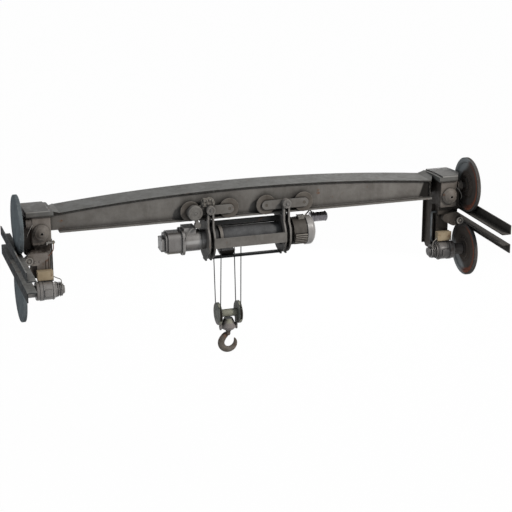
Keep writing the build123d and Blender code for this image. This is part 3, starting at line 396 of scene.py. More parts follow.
def wheel_face(inward, centre_z):
    """Rings on the face that looks along inward: painted shade in dark brown, a painted pool of light in pale grey
    towards one side, and rust.
    """
    def paint_rings(m, colour):
        across = m.radius(0.0, centre_z)
        face = m.ramp(m.times(m.facing("X"), inward), 0.3, 0.7)
        ragged = m.math("ADD", across, m.ramp(m.noise(7.0, 5.0), 0.0, 1.0, -0.012, 0.012))
        hub = m.ramp(ragged, 0.165, 0.150)
        brown = m.blend(m.times(hub, 0.85), colour, HUB_BROWN)
        disc = m.times(m.ramp(ragged, 0.15, 0.17), m.ramp(ragged, 0.250, 0.235))
        brown = m.blend(m.times(disc, m.ramp(m.noise(2.2, 4.0), 0.40, 0.55, 0.05, 0.85)), brown, DISC_BROWN)
        rise = m.math("SUBTRACT", m.coordinate("Z"), centre_z)
        towards = 1.0 if centre_z > 0.0 else -1.0
        lit_patch = m.ramp(m.math("ADD", m.times(rise, towards), m.coordinate("Y")), 0.17, 0.25, 0.0, 0.85)
        brown = m.blend(m.times(lit_patch, m.ramp(ragged, 0.150, 0.175)), brown, DISC_LIT)
        near = m.ramp(m.math("ADD", m.coordinate("Y"), m.times(rise, 0.15)), 0.02, -0.10)
        rim = m.times(m.times(m.ramp(ragged, 0.222, 0.236), m.ramp(ragged, 0.286, 0.274)), near)
        brown = m.blend(m.times(rim, m.ramp(m.noise(4.0, 5.0), 0.36, 0.50, 0.45, 1.0)), brown, RIM_RUST)
        return m.blend(face, colour, brown)
    return paint_rings


def streaked_case(m, colour):
    """The gearbox: two grooves, a duller case, a painted highlight along the bell, painted shade on the faces that
    look down and up and a dark notch, and a faint yellow oil stain.
    """
    low = m.along("Z", -0.165, -0.200)
    case = m.along("X", 1.78, 1.76)
    for centre in CASE_GROOVE_XS:
        off = m.off(m.coordinate("X"), centre)
        colour = m.blend(m.ramp(off, 0.0055, 0.0040, 0.0, 0.9), colour, CASE_GROOVE)
    colour = m.blend(m.times(case, 0.30), colour, CASE_GREY)
    bell_highlight = m.times(m.along("Z", -0.112, -0.096), m.along("Z", -0.060, -0.074, 0.0, 0.4))
    colour = m.blend(m.times(bell_highlight, m.along("X", 1.795, 1.805)), colour, CASE_HIGHLIGHT)
    notch = m.times(m.along("X", 1.872, 1.884), m.along("X", 1.962, 1.950))
    notch = m.times(notch, m.along("Z", -0.150, -0.162))
    under = m.math("MAXIMUM", m.ramp(m.facing("Z"), -0.15, -0.75), m.ramp(m.facing("Z"), 0.70, 0.95, 0.0, 0.85))
    colour = m.blend(m.times(m.math("MAXIMUM", under, notch), 0.88), colour, CASE_SHADE)
    spread = m.ramp(m.noise(9.0, 4.0), 0.42, 0.60, 0.0, 0.6)
    return m.blend(m.times(m.times(low, case), spread), colour, CASE_OIL)


# Each finish has a base colour, a darker mottle and a brighter one for streaks, dust and pale edges (wear and
# painted highlight)

BROWN_PAINT = ((0.158, 0.150, 0.140), (0.110, 0.102, 0.094), (0.245, 0.238, 0.225))
BOX_PAINT = ((0.172, 0.156, 0.142), (0.112, 0.098, 0.086), (0.265, 0.248, 0.230))

paint = worn_and_shaded("crane_paint", *BROWN_PAINT)
web_paint = worn_and_shaded("web_paint", *BROWN_PAINT, zone=shadowed_web)
cap_paint = worn_and_shaded("cap_paint", (0.132, 0.131, 0.127), (0.088, 0.086, 0.081), (0.205, 0.204, 0.196), zone=lit_and_shaded_cap)
plate_paint = worn_and_shaded("plate_paint", (0.145, 0.145, 0.140), (0.095, 0.094, 0.088), (0.215, 0.215, 0.205),
                   zone=shaded_plate_edge)
left_box_paint = worn_and_shaded("left_box_paint", (0.215, 0.194, 0.176), (0.140, 0.122, 0.107), (0.310, 0.290, 0.270),
                      shelter_shade=0.30, zone=shaded_inner_side(1.0))
right_box_paint = worn_and_shaded("right_box_paint", *BOX_PAINT, shelter_shade=0.65, zone=shaded_inner_side(-1.0))
cover_paint = worn_and_shaded("cover_paint", *BOX_PAINT, shelter_shade=0.30, corner_shade=0.9, edge=1.3)
left_bracket_paint = worn_and_shaded("left_bracket_paint", (0.200, 0.180, 0.163), (0.130, 0.113, 0.099),
                          (0.290, 0.270, 0.252), shelter_shade=0.10, rust_low=0.58, zone=shaded_bracket)
# Near-black paint; on the right bracket, a shaded copy of the left bracket's paint, and on the end skirts it is
# painted shade
dark_paint = worn_and_shaded("dark_paint", (0.060, 0.052, 0.045), (0.036, 0.030, 0.026), (0.135, 0.125, 0.110), shelter_shade=0.7)
bars_paint = worn_and_shaded("bars_paint", *BROWN_PAINT, zone=dark_bars)
hanger_paint = worn_and_shaded("hanger_paint", (0.190, 0.178, 0.168), (0.128, 0.118, 0.109), (0.300, 0.288, 0.274),
                    zone=oily_foot, edge=1.4)
drive = worn_and_shaded("drive_paint", (0.225, 0.214, 0.207), (0.150, 0.141, 0.134), (0.350, 0.343, 0.336), roughness=0.34,
             specular=0.5, corner_shade=0.95, shelter_shade=0.20)
right_drive = worn_and_shaded("right_drive_paint", (0.155, 0.147, 0.142), (0.100, 0.093, 0.088), (0.290, 0.284, 0.278),
                   roughness=0.40, specular=0.2, corner_shade=0.95, shelter_shade=0.95)
fan_paint = worn_and_shaded("fan_paint", (0.245, 0.236, 0.230), (0.165, 0.157, 0.150), (0.38, 0.373, 0.366), roughness=0.32,
                 specular=0.55, shelter_shade=0.20, zone=ringed_dome)
gear = worn_and_shaded("gear_paint", (0.235, 0.226, 0.220), (0.160, 0.151, 0.145), (0.350, 0.345, 0.340), roughness=0.30,
            specular=0.35, corner_shade=0.95, shelter_shade=0.55, zone=streaked_case)
motor_paint = worn_and_shaded("motor_paint", (0.088, 0.080, 0.072), (0.055, 0.049, 0.043), (0.175, 0.166, 0.155), corner_shade=0.95,
                   zone=finned_motor)
rib_paint = worn_and_shaded("rib_paint", (0.235, 0.214, 0.192), (0.160, 0.144, 0.128), (0.33, 0.31, 0.285), shelter_shade=0.0, corner_shade=0.2)
can = worn_and_shaded("can_metal", (0.30, 0.29, 0.31), (0.13, 0.125, 0.135), (0.50, 0.49, 0.52), roughness=0.26, metallic=0.75,
           specular=0.5, shelter_shade=0.45)
# Painted light: the left rail's steel has a bluish tint for the bluish light from the left
left_rail = worn_and_shaded("rail_steel", (0.038, 0.041, 0.043), (0.022, 0.023, 0.024), (0.215, 0.214, 0.206), rust_low=0.60,
                 edge=1.25, dust=1.0, specular=0.04, roughness=0.7)
right_rail = worn_and_shaded("right_rail_steel", (0.056, 0.051, 0.046), (0.034, 0.030, 0.027), (0.150, 0.145, 0.138), edge=1.25,
                  dust=0.3, shelter_shade=0.6, specular=0.03, roughness=0.7)
right_tan = worn_and_shaded("box_tan", (0.310, 0.252, 0.170), (0.215, 0.168, 0.108), (0.40, 0.35, 0.27), rust_low=0.58,
                 rust_high=0.68, shelter_shade=0.0)
left_tan = worn_and_shaded("left_box_tan", (0.410, 0.335, 0.228), (0.285, 0.222, 0.145), (0.50, 0.44, 0.34), rust_low=0.58,
                rust_high=0.68, shelter_shade=0.0)
drum = worn_and_shaded("drum_steel", (0.150, 0.152, 0.156), (0.080, 0.082, 0.086), (0.250, 0.253, 0.258), rust_low=0.8,
            rust_high=0.9, zone=wound)
rope = worn_and_shaded("rope_steel", (0.017, 0.019, 0.018), (0.010, 0.011, 0.010), (0.045, 0.047, 0.045), rust_low=0.9,
            rust_high=0.99, shelter_shade=0.3)
block = worn_and_shaded("block_paint", (0.120, 0.124, 0.108), (0.062, 0.064, 0.052), (0.250, 0.253, 0.235), rust_low=0.60,
             edge=1.3, shelter_shade=0.4, zone=slotted_block)
hook_iron = worn_and_shaded("hook_iron", (0.138, 0.122, 0.106), (0.070, 0.058, 0.048), (0.310, 0.300, 0.285), rust_low=0.54,
                 edge=1.3, shelter_shade=0.5, scale=14.0)
casting_paint = worn_and_shaded("casting_paint", (0.215, 0.198, 0.178), (0.120, 0.108, 0.094), (0.36, 0.345, 0.32), shelter_shade=0.2,
                     edge=1.4)
guide_paint = worn_and_shaded("guide_paint", (0.26, 0.245, 0.225), (0.17, 0.155, 0.14), (0.40, 0.385, 0.365), rust_low=0.56)
trolley_wheel_paint = worn_and_shaded("trolley_wheel_paint", (0.116, 0.104, 0.092), (0.072, 0.062, 0.053),
                           (0.195, 0.182, 0.168), corner_shade=0.95)
bolt_steel = worn_and_shaded("bolt_steel", (0.155, 0.150, 0.143), (0.080, 0.075, 0.070), (0.320, 0.315, 0.305), corner_shade=0.9)
copper = worn_and_shaded("pipe_copper", (0.200, 0.085, 0.060), (0.120, 0.050, 0.036), (0.34, 0.20, 0.15), shelter_shade=0.0, corner_shade=0.3)
brass = worn_and_shaded("ring_brass", (0.30, 0.22, 0.09), (0.18, 0.13, 0.05), (0.45, 0.36, 0.18), metallic=0.4, shelter_shade=0.3)
conduit = worn_and_shaded("conduit_grey", (0.250, 0.240, 0.225), (0.165, 0.156, 0.144), (0.38, 0.37, 0.35), shelter_shade=0.3)
tube_grey = worn_and_shaded("tube_grey", (0.140, 0.150, 0.158), (0.090, 0.096, 0.100), (0.24, 0.25, 0.26), shelter_shade=0.35)
# Near-black, used as painted shade on the upper weld beads and the drum hood
shade_black_paint = worn_and_shaded("shade_black_paint", (0.022, 0.019, 0.017), (0.012, 0.011, 0.010), (0.060, 0.056, 0.052), shelter_shade=0.3)

# Painted light and shade: the left wheels' steel is bluish for the bluish light from the left, the right wheels' is
# a darker shaded copy
WHEEL_STEELS = {
    "left": ((0.118, 0.138, 0.147), (0.078, 0.088, 0.094), (0.240, 0.255, 0.262)),
    "right": ((0.078, 0.074, 0.071), (0.050, 0.045, 0.042), (0.190, 0.188, 0.184)),
}
end_wheels = {
    f"{level}_wheel_{side}": worn_and_shaded(
        f"{level}_wheel_{side}_steel", *WHEEL_STEELS[side], rust_low=0.60, rust_high=0.76, edge=1.1, shelter_shade=0.35,
        specular=0.03, roughness=0.7, zone=wheel_face(inward, z))
    for level, z in (("upper", UPPER_AXLE_Z), ("lower", LOWER_AXLE_Z))
    for side, inward in (("left", 1.0), ("right", -1.0))
}

finishes = {
    "crane_paint": paint, "drive_paint": drive, "rail_steel": left_rail, "wheel_steel": trolley_wheel_paint,
    "box_tan": right_tan, "drum_steel": drum, "rope_steel": rope, "block_paint": block, "hook_iron": hook_iron,
}
own_finishes = {
    "girder_box": web_paint, "girder_top_plate": plate_paint, "end_cap_left": cap_paint, "end_cap_right": cap_paint,
    "hoist_bars": bars_paint, "hanger_left": hanger_paint, "hanger_right": hanger_paint, "rope_guide": guide_paint,
    "hoist_gearbox": gear, "hoist_motor": motor_paint, "limit_switch": can, "rear_channel_left": dark_paint,
    "rear_channel_right": dark_paint, "end_bracket_right": dark_paint, "end_bracket_left": left_bracket_paint,
    "end_box_left": left_box_paint, "end_box_right": right_box_paint, "bearing_cover_left": cover_paint,
    "bearing_cover_right": cover_paint, "fan_cover": fan_paint, "drive_gearbox_right": right_drive,
    "drive_motor_right": right_drive, "travel_drive": paint, "return_block": dark_paint,
    "runway_rails_right": right_rail, "junction_box_left": left_tan, **end_wheels,
}
for entry in frame["record"]["subparts"]:
    thing = bpy.data.objects[entry["node"]]
    material = own_finishes.get(entry["node"], finishes[entry["material_slot"]])
    if not thing.material_slots:
        thing.data.materials.append(material)
    for slot in thing.material_slots:
        slot.material = material


# Building blocks for the details

WASHER_SIDES = 20
HEAD_SIDES = 6
RING_SIDES = 48
SMOOTH_ORDER = 4
FRONT = (0.0, -1.0, 0.0)
REAR = (0.0, 1.0, 0.0)
LEFT = (-1.0, 0.0, 0.0)
RIGHT = (1.0, 0.0, 0.0)
UP = (0.0, 0.0, 1.0)
DOWN = (0.0, 0.0, -1.0)


def piece(name, form, body, material):
    """Turns a bmesh into an object that rides on a body. With no body, it stays unattached."""
    bmesh.ops.recalc_face_normals(form, faces=form.faces)
    mesh = bpy.data.meshes.new(name)
    form.to_mesh(mesh)
    form.free()
    mesh.materials.append(material)
    thing = bpy.data.objects.new(name, mesh)
    scene.collection.objects.link(thing)
    if body:
        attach(thing, body)
    return thing


def turned(form, profile, place, direction, segments, closed=False):
    """Adds a turned shape: profile is (radius, height) points, closed makes a ring."""
    frame_matrix = Matrix.Translation(place) @ Vector(direction).to_track_quat("Z", "Y").to_matrix().to_4x4()
    rows = []
    for radius, height in profile:
        if radius == 0.0:
            rows.append([form.verts.new(frame_matrix @ Vector((0.0, 0.0, height)))])
            continue
        angles = [math.tau * step / segments for step in range(segments)]
        rows.append([
            form.verts.new(frame_matrix @ Vector((radius * math.cos(a), radius * math.sin(a), height)))
            for a in angles
        ])
    pairs = list(zip(rows, rows[1:]))
    if closed:
        pairs.append((rows[-1], rows[0]))
    for lower, upper in pairs:
        for step in range(segments):
            after = (step + 1) % segments
            corners = []
            for vertex in (
                lower[step % len(lower)], lower[after % len(lower)],
                upper[after % len(upper)], upper[step % len(upper)],
            ):
                if vertex not in corners:
                    corners.append(vertex)
            if len(corners) > 2:
                form.faces.new(corners)


def bolt(form, place, direction, radius, height):
    """A hexagon head with a chamfered top on a washer."""
    washer = 0.25 * height
    turned(form, [
        (0.0, 0.0), (1.4 * radius, 0.0), (1.4 * radius, washer), (0.0, washer)
    ], place, direction, WASHER_SIDES)
    turned(form, [
        (0.0, washer), (radius, washer), (radius, 0.85 * height), (0.82 * radius, height), (0.0, height)
    ], place, direction, HEAD_SIDES)


def ring(form, place, direction, inner, outer, height):
    """A flat ring with chamfered upper edges."""
    rise = 0.7 * height
    edge = 0.25 * (outer - inner)
    turned(form, [
        (inner, 0.0), (outer, 0.0), (outer, rise), (outer - edge, height), (inner + edge, height), (inner, rise)
    ], place, direction, RING_SIDES, closed=True)


def block_shape(form, low, high, edge):
    """A box with bevelled edges."""
    made = bmesh.ops.create_cube(form, size=1.0)
    low, high = Vector(low), Vector(high)
    middle, size = (low + high) / 2, high - low
    for vertex in made["verts"]:
        vertex.co = Vector(vertex.co[i] * size[i] + middle[i] for i in range(3))
    edges = list(dict.fromkeys(e for vertex in made["verts"] for e in vertex.link_edges))
    bmesh.ops.bevel(form, geom=edges, offset=edge, segments=2, affect="EDGES", profile=0.5)


def plate(form, outline, front_y, rear_y):
    """An upright plate from (x, z) points."""
    front = [form.verts.new((x, front_y, z)) for x, z in outline]
    rear = [form.verts.new((x, rear_y, z)) for x, z in outline]
    form.faces.new(front)
    form.faces.new(rear[::-1])
    for i in range(len(outline)):
        after = (i + 1) % len(outline)
        form.faces.new((front[i], rear[i], rear[after], front[after]))


def pipe(name, points, radius, body, material):
    """A thin pipe along a smooth line."""
    line = bpy.data.curves.new(name, "CURVE")
    line.dimensions = "3D"
    line.bevel_depth = radius
    line.bevel_resolution = 3
    line.resolution_u = 6
    line.use_fill_caps = True
    spline = line.splines.new("NURBS")
    spline.points.add(len(points) - 1)
    for point, place in zip(spline.points, points):
        point.co = (*place, 1.0)
    spline.order_u = SMOOTH_ORDER
    spline.use_endpoint_u = True
    line.materials.append(material)
    thing = bpy.data.objects.new(name, line)
    scene.collection.objects.link(thing)
    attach(thing, body)


def sides():
    """Name, x of a place given at the left end, and the direction towards the middle."""
    yield "left", (lambda x: x), RIGHT
    yield "right", (lambda x: 2 * MIDDLE_X - x), LEFT


# Trolley: axle nuts at the rear, pivot caps, the casting above the left pivot and the travel drive's rings

for name, x in (("outer_left", 1.867), ("inner_left", 2.287), ("inner_right", 2.693), ("outer_right", 3.113)):
    nuts = bmesh.new()
    bolt(nuts, (x, LINK_REAR_Y + 0.001, TROLLEY_AXLE_Z), REAR, 0.013, 0.010)
    piece("axle_nuts_" + name, nuts, "axle_" + name, trolley_wheel_paint)

caps = bmesh.new()
for x in PIVOT_XS:
    for y, way in ((-0.115, FRONT), (0.515, REAR)):
        ring(caps, (x, y, PIVOT_Z), way, 0.029, 0.038, 0.004)
        bolt(caps, (x, y, PIVOT_Z), way, 0.013, 0.010)
piece("pivot_caps", caps, "trolley", bolt_steel)

CASTING_FRONT_Y = -0.056
CASTING_REAR_Y = -0.016
casting = bmesh.new()
plate(casting, [
    (1.992, 0.2890), (2.116, 0.2890), (2.126, 0.330), (2.104, 0.368),
    (2.066, 0.380), (2.034, 0.372), (2.004, 0.376), (1.990, 0.330),
], CASTING_FRONT_Y, CASTING_REAR_Y)
plate(casting, [(1.978, 0.2890), (1.986, 0.2890), (1.992, 0.340), (1.984, 0.366)], -0.040, -0.028)
block_shape(casting, (1.960, -0.040, 0.2880), (2.120, CASTING_REAR_Y, 0.2980), 0.002)
for x, z in (
    (2.012, 0.352), (2.040, 0.350), (2.070, 0.358), (2.098, 0.345), (2.104, 0.312), (2.010, 0.318), (2.052, 0.316),
):
    bolt(casting, (x, CASTING_FRONT_Y, z), FRONT, 0.010, 0.014)
piece("pivot_casting", casting, "trolley", casting_paint)

drive_rings = bmesh.new()
ring(drive_rings, TRAVEL_DRIVE, FRONT, 0.052, 0.060, 0.003)
ring(drive_rings, TRAVEL_DRIVE, FRONT, 0.020, 0.026, 0.003)
bolt(drive_rings, TRAVEL_DRIVE, FRONT, 0.009, 0.007)
piece("travel_drive_rings", drive_rings, "trolley", paint)


# Hoist gearbox: bolts on its flange, lid and end, and an oil pipe over the flange

FLANGE_X = 1.7695
LID_X = 1.5955
END_X = 1.5555
gear_bolts = bmesh.new()
for y in (-0.0745, 0.1745):
    for z in (-0.150, HOIST_Z, -0.034):
        bolt(gear_bolts, (FLANGE_X, y, z), LEFT, 0.007, 0.007)
for z in (-0.2165, 0.0325):
    for y in (0.000, 0.100):
        bolt(gear_bolts, (FLANGE_X, y, z), LEFT, 0.007, 0.007)
for y, z in ((-0.047, -0.130), (-0.047, -0.054), (0.147, -0.130), (0.147, -0.054), (0.020, 0.001), (0.080, 0.001)):
    bolt(gear_bolts, (LID_X, y, z), LEFT, 0.005, 0.005)
for y, z in ((-0.018, -0.160), (0.118, -0.160), (-0.018, -0.044), (0.118, -0.044)):
    bolt(gear_bolts, (END_X, y, z), LEFT, 0.006, 0.005)
piece("gearbox_bolts", gear_bolts, "trolley", bolt_steel)
pipe("gearbox_oil_pipe", [
    (1.788, -0.084, -0.060), (1.800, -0.094, -0.020), (1.822, -0.094, 0.030),
    (1.862, -0.078, 0.072), (1.925, -0.045, 0.070), (1.935, -0.035, 0.060),
], 0.004, "trolley", conduit)


# Hoist motor: fan cover boss, cooling ribs, terminal box, conduit to the limit switch and bands on its can. The
# near-black hood hangs between the top bar and the drum as painted shade over the drum

fan = bmesh.new()
ring(fan, (3.2560, HOIST_Y, HOIST_Z), RIGHT, 0.012, 0.024, 0.0012)
bolt(fan, (3.2562, HOIST_Y, HOIST_Z), RIGHT, 0.007, 0.0012)
piece("fan_cover_boss", fan, "trolley", fan_paint)

RIB_COUNT = 6
RIB_TOP_Z = -0.100
RIB_PITCH = 0.0225
RIB_XS = (3.004, 3.138)
RIB_CORNERS = ((0.136, 0.0050), (0.1595, 0.0050), (0.1595, -0.0050), (0.136, -0.0050))
ribs = bmesh.new()
for step in range(RIB_COUNT):
    z = RIB_TOP_Z - RIB_PITCH * step
    for way in (-1.0, 1.0):
        reaches = [
            (math.sqrt(max(radius ** 2 - (z + rise - HOIST_Z) ** 2, 0.0)), rise) for radius, rise in RIB_CORNERS
        ]
        ends = [
            [ribs.verts.new((x, HOIST_Y + way * reach, z + rise)) for reach, rise in reaches] for x in RIB_XS
        ]
        for i in range(4):
            ribs.faces.new((ends[0][i], ends[0][(i + 1) % 4], ends[1][(i + 1) % 4], ends[1][i]))
        ribs.faces.new(ends[0])
        ribs.faces.new(ends[1][::-1])
piece("motor_ribs", ribs, "trolley", rib_paint)

hood = bmesh.new()
block_shape(hood, (2.1280, 0.0655, 0.0250), (2.8400, 0.0700, 0.0480), 0.0010)
block_shape(hood, (2.1100, 0.0655, 0.0430), (2.8580, 0.0710, 0.0880), 0.0015)
block_shape(hood, (2.1100, 0.0500, 0.0860), (2.8580, 0.0710, 0.0910), 0.0015)
piece("drum_hood", hood, "trolley", shade_black_paint)

terminal = bmesh.new()
block_shape(terminal, (3.062, -0.010, 0.040), (3.132, 0.060, 0.074), 0.005)
block_shape(terminal, (3.058, -0.014, 0.072), (3.136, 0.064, 0.079), 0.002)
for x in (3.066, 3.128):
    for y in (-0.006, 0.056):
        bolt(terminal, (x, y, 0.079), UP, 0.004, 0.004)
piece("motor_terminal_box", terminal, "trolley", conduit)
pipe("motor_conduit", [
    (3.120, 0.020, 0.062), (3.145, 0.020, 0.072), (3.180, 0.040, 0.094), (3.225, 0.110, 0.096),
    (3.262, 0.190, 0.080), (3.290, 0.205, 0.048), (3.300, 0.210, 0.030),
], 0.008, "trolley", conduit)

bands = bmesh.new()
for x, height in ((3.2760, 0.016), (3.3120, 0.006), (3.4440, 0.010)):
    ring(bands, (x, SWITCH_Y, SWITCH_Z), RIGHT, 0.0500, 0.0560, height)
piece("limit_switch_bands", bands, "trolley", can)


# End boxes: rings and bolts on the bearing covers, skirts, panels and flanges on the drives, lids on the tan
# boxes, conduits, post tubes, stop roller caps and cover pipes

BOLTS_ROUND = 8
COVER_BOLT_REACH = 0.0755
DRIVE_BOLT_REACH = 0.0760
PANEL_FRONT_Y = -0.108
LID_FRONT_Y = -0.0150
POST_Y = 0.080
ROLLER_X, ROLLER_Z = 0.168, -0.126

for side, at, inward in sides():
    cover = bmesh.new()
    ring(cover, (at(COVER_X), -0.0618, COVER_Z), FRONT, 0.0720, 0.0790, 0.004)
    ring(cover, (at(COVER_X), -0.0780, COVER_Z), FRONT, 0.0560, 0.0625, 0.005)
    ring(cover, (at(COVER_X), -0.1005, COVER_Z), FRONT, 0.0150, 0.0210, 0.0025)
    for step in range(BOLTS_ROUND):
        angle = math.tau * (step + 0.5) / BOLTS_ROUND
        bolt(cover, (
            at(COVER_X) + COVER_BOLT_REACH * math.cos(angle), -0.0630, COVER_Z + COVER_BOLT_REACH * math.sin(angle)
        ), FRONT, 0.0055, 0.006)
    piece("cover_rings_" + side, cover, "bridge", cover_paint)

    # The skirts are in near-black paint, painted shade for recessed plates in shadow
    skirt = bmesh.new()
    plate(skirt, [
        (at(0.142), 0.030), (at(0.300), 0.030), (at(0.300), -0.080),
        (at(0.200), -0.094), (at(0.162), -0.098), (at(0.146), -0.086),
    ], 0.080, 0.200)
    plate(skirt, [(at(0.160), -0.032), (at(0.176), -0.032), (at(0.176), -0.094), (at(0.160), -0.094)], 0.060, 0.081)
    for x in (0.190, 0.208):
        bolt(skirt, (at(x), 0.080, -0.060), FRONT, 0.007, 0.008)
    piece("end_skirt_" + side, skirt, "bridge", dark_paint)

    panel = bmesh.new()
    low_x, high_x = sorted((at(0.305), at(0.388)))
    block_shape(panel, (low_x, PANEL_FRONT_Y, LOWER_AXLE_Z - 0.036), (high_x, -0.080, LOWER_AXLE_Z + 0.036), 0.004)
    for x in (0.313, 0.380):
        for rise in (-0.027, 0.027):
            bolt(panel, (at(x), PANEL_FRONT_Y, LOWER_AXLE_Z + rise), FRONT, 0.0045, 0.004)
    for x, outer, height in (
        (0.300, 0.1030, 0.008), (0.398, 0.1030, 0.010), (0.452, 0.0770, 0.008), (0.474, 0.0770, 0.006),
    ):
        low_x = min(at(x), at(x + height))
        ring(panel, (low_x, 0.0, LOWER_AXLE_Z), RIGHT, outer - 0.010, outer, height)
    for step in range(BOLTS_ROUND):
        angle = math.tau * (step + 0.5) / BOLTS_ROUND
        bolt(panel, (
            at(0.440), DRIVE_BOLT_REACH * math.cos(angle), LOWER_AXLE_Z + DRIVE_BOLT_REACH * math.sin(angle)
        ), inward, 0.0050, 0.006)
    piece("drive_panel_" + side, panel, "bridge", drive if side == "left" else right_drive)

    lid = bmesh.new()
    low_x, high_x = sorted((at(0.2535), at(0.4115)))
    block_shape(lid, (low_x, LID_FRONT_Y, -0.353), (high_x, -0.0105, -0.259), 0.0015)
    for x in (0.2615, 0.4035):
        for z in (-0.345, -0.267):
            bolt(lid, (at(x), LID_FRONT_Y, z), FRONT, 0.0045, 0.004)
    piece("junction_lid_" + side, lid, "bridge", left_tan if side == "left" else right_tan)

    pipe("drive_conduit_" + side, [
        (at(0.412), -0.002, -0.322), (at(0.432), -0.010, -0.328), (at(0.452), -0.030, -0.338),
        (at(0.480), -0.052, -0.340), (at(0.490), -0.055, -0.354), (at(0.490), -0.055, -0.416),
    ], 0.0048, "bridge", conduit)
    tube_x, tube_radius = (0.412, 0.0050) if side == "left" else (0.455, 0.0110)
    pipe("post_tube_" + side, [
        (at(0.395), POST_Y, -0.040), (at(tube_x - 0.012), POST_Y, -0.040), (at(tube_x), POST_Y, -0.050),
        (at(tube_x), POST_Y, -0.090), (at(tube_x), POST_Y, -0.300), (at(tube_x - 0.003), POST_Y, -0.380),
        (at(0.400), 0.075, -0.395),
    ], tube_radius, "bridge", tube_grey)

    roller = bmesh.new()
    ring(roller, (at(ROLLER_X), -0.0500, ROLLER_Z), FRONT, 0.026, 0.042, 0.006)
    bolt(roller, (at(ROLLER_X), -0.0500, ROLLER_Z), FRONT, 0.012, 0.009)
    piece("stop_roller_cap_" + side, roller, "bridge", guide_paint)
    pipe("cover_pipe_" + side, [
        (at(0.226), -0.036, 0.256), (at(0.210), -0.060, 0.240), (at(0.186), -0.068, 0.208),
        (at(0.166), -0.060, 0.165), (at(0.158), -0.050, 0.130), (at(0.158), -0.020, 0.118),
    ], 0.0038, "bridge", conduit)


# Left end: the plate behind the post's foot, and a clip, union and copper pipe that bring grease

foot = bmesh.new()
plate(foot, [(0.285, -0.140), (0.285, -0.361), (0.184, -0.361), (0.196, -0.250), (0.214, -0.170)], 0.100, 0.116)
piece("end_foot_left", foot, "bridge", left_bracket_paint)

clip = bmesh.new()
block_shape(clip, (0.350, -0.060, 0.048), (0.440, -0.022, 0.064), 0.003)
block_shape(clip, (0.350, -0.060, 0.034), (0.366, -0.022, 0.050), 0.002)
bolt(clip, (0.376, -0.041, 0.064), UP, 0.008, 0.007)
piece("grease_clip", clip, "bridge", conduit)
union = bmesh.new()
ring(union, (0.424, -0.041, 0.0485), DOWN, 0.004, 0.012, 0.012)
bolt(union, (0.424, -0.041, 0.0640), UP, 0.008, 0.008)
piece("grease_union", union, "bridge", brass)
pipe("grease_pipe", [
    (0.424, -0.041, 0.050), (0.424, -0.042, 0.020), (0.426, -0.042, -0.014),
    (0.410, -0.042, -0.052), (0.380, -0.040, -0.082), (0.352, -0.024, -0.100),
], 0.0050, "bridge", copper)


# Rope falls: six-strand wire rope between the trolley and the block

ROPE_RADIUS = 0.0055
ROPE_CORE = 0.80
ROPE_STRANDS = 6
ROPE_LAY = 0.075
ROPE_STEPS = 108
ROPE_CORNERS = 24
ROPE_TOP_Z = -0.0920
ROPE_FOOT_Z = -0.9460
ropes = bmesh.new()
for top_x, top_y, foot_x, foot_y in (
    (2.4011, -0.0731, 2.4061, -0.0400), (2.3981, 0.1731, 2.4061, 0.1400),
    (2.1841, -0.0731, 2.1801, -0.0400), (2.1661, 0.1731, 2.1801, 0.1400),
):
    rows = []
    for step in range(ROPE_STEPS + 1):
        down = step / ROPE_STEPS
        height = ROPE_TOP_Z + (ROPE_FOOT_Z - ROPE_TOP_Z) * down
        x = top_x + (foot_x - top_x) * down
        y = top_y + (foot_y - top_y) * down
        twist = math.tau * (ROPE_TOP_Z - height) / ROPE_LAY
        row = []
        for corner in range(ROPE_CORNERS):
            angle = math.tau * corner / ROPE_CORNERS
            swell = abs(math.cos(ROPE_STRANDS / 2 * (angle - twist)))
            lobe = ROPE_RADIUS * (ROPE_CORE + (1.0 - ROPE_CORE) * swell)
            row.append(ropes.verts.new((x + lobe * math.cos(angle), y + lobe * math.sin(angle), height)))
        rows.append(row)
    for upper, lower in zip(rows, rows[1:]):
        for corner in range(ROPE_CORNERS):
            after = (corner + 1) % ROPE_CORNERS
            ropes.faces.new((upper[corner], upper[after], lower[after], lower[corner]))
    ropes.faces.new(rows[0][::-1])
    ropes.faces.new(rows[-1])
strands = piece("wire_ropes", ropes, None, rope)
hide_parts("rope_falls")
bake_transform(strands)


# Girder: weld beads between the webs and the plates above and below. The upper beads are near-black, a painted
# shadow under the top plate

def soffit(x):
    """Height of the top plate's underside."""
    return ARCH_TOP_Z - TOP_PLATE - ARCH_RADIUS + math.sqrt(ARCH_RADIUS ** 2 - (x - MIDDLE_X) ** 2)


WELD_STEPS = 16
for place, y, low_x, high_x in (("front", WEB_FRONT_Y, 0.50, 4.52), ("rear", WEB_REAR_Y, 0.59, 4.61)):
    steps = [low_x + (high_x - low_x) * i / WELD_STEPS for i in range(WELD_STEPS + 1)]
    under = [(x, y, soffit(x) + 0.001) for x in steps]
    pipe("upper_weld_" + place, under, 0.009, "bridge", shade_black_paint)
    pipe("lower_weld_" + place, [(x, y, TRACK_TOP_Z) for x in steps], 0.005, "bridge", paint)


# Studio: a pale floor, soft light and a white background

LAMP_AIM = (2.6, 0.0, 0.0)
SOFT_LIGHT = 0.33
FLOOR_Z = -4.3
FLOOR_REACH = 90.0
FLOOR_SHARE = 0.985


def area_light(name, place, size, power, colour):
    """A round lamp that shines at the crane's middle."""
    data = bpy.data.lights.new(name, "AREA")
    data.shape = "DISK"
    data.size = size
    data.energy = power
    data.color = colour
    lamp = bpy.data.objects.new(name, data)
    scene.collection.objects.link(lamp)
    lamp.location = place
    lamp.rotation_euler = (Vector(LAMP_AIM) - Vector(place)).to_track_quat("-Z", "Y").to_euler()


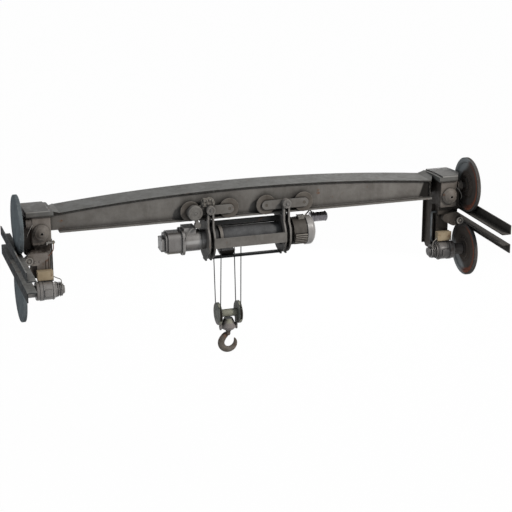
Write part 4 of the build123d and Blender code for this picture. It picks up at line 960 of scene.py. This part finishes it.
def seen(tree):
    """1 for what the camera, a reflection or a transmission shows, 0 for the light on the object."""
    path = tree.nodes.new("ShaderNodeLightPath")
    first = tree.nodes.new("ShaderNodeMath")
    first.operation = "MAXIMUM"
    second = tree.nodes.new("ShaderNodeMath")
    second.operation = "MAXIMUM"
    tree.links.new(path.outputs["Is Camera Ray"], first.inputs[0])
    tree.links.new(path.outputs["Is Glossy Ray"], first.inputs[1])
    tree.links.new(first.outputs[0], second.inputs[0])
    tree.links.new(path.outputs["Is Transmission Ray"], second.inputs[1])
    return second.outputs[0]


area_light("key", (11.0, -9.0, 9.0), 2.6, 2150.0, (1.0, 0.965, 0.92))
area_light("fill", (-8.0, -6.0, 4.0), 5.0, 300.0, (0.84, 0.93, 1.0))
area_light("rear", (8.0, 12.0, -1.2), 5.0, 650.0, (1.0, 1.0, 1.0))

world = bpy.data.worlds.new("studio")
world.use_nodes = True
scene.world = world
tree = world.node_tree
soft = tree.nodes["Background"]
soft.inputs["Color"].default_value = (0.94, 0.97, 1.0, 1.0)
soft.inputs["Strength"].default_value = SOFT_LIGHT
plain = tree.nodes.new("ShaderNodeBackground")
plain.inputs["Color"].default_value = (1.0, 1.0, 1.0, 1.0)
plain.inputs["Strength"].default_value = 1.0
choose = tree.nodes.new("ShaderNodeMixShader")
tree.links.new(seen(tree), choose.inputs[0])
tree.links.new(soft.outputs["Background"], choose.inputs[1])
tree.links.new(plain.outputs["Background"], choose.inputs[2])
tree.links.new(choose.outputs["Shader"], tree.nodes["World Output"].inputs["Surface"])

floor_form = bmesh.new()
floor_form.faces.new([
    floor_form.verts.new((MIDDLE_X + x * FLOOR_REACH, y * FLOOR_REACH, FLOOR_Z))
    for x, y in ((-1, -1), (1, -1), (1, 1), (-1, 1))
])
floor_mesh = bpy.data.meshes.new("floor")
floor_form.to_mesh(floor_mesh)
floor_form.free()
floor = bpy.data.objects.new("floor", floor_mesh)
scene.collection.objects.link(floor)
floor_paint = bpy.data.materials.new("floor_paint")
floor_paint.use_nodes = True
tree = floor_paint.node_tree
pale = tree.nodes["Principled BSDF"]
pale.inputs["Base Color"].default_value = (0.62, 0.62, 0.62, 1.0)
pale.inputs["Roughness"].default_value = 0.9
glow = tree.nodes.new("ShaderNodeEmission")
glow.inputs["Strength"].default_value = 1.0
share = tree.nodes.new("ShaderNodeMath")
share.operation = "MULTIPLY"
share.inputs[1].default_value = FLOOR_SHARE
tree.links.new(seen(tree), share.inputs[0])
choose = tree.nodes.new("ShaderNodeMixShader")
tree.links.new(share.outputs[0], choose.inputs[0])
tree.links.new(pale.outputs["BSDF"], choose.inputs[1])
tree.links.new(glow.outputs["Emission"], choose.inputs[2])
tree.links.new(choose.outputs["Shader"], tree.nodes["Material Output"].inputs["Surface"])
floor_mesh.materials.append(floor_paint)

scene.view_settings.view_transform = "Standard"
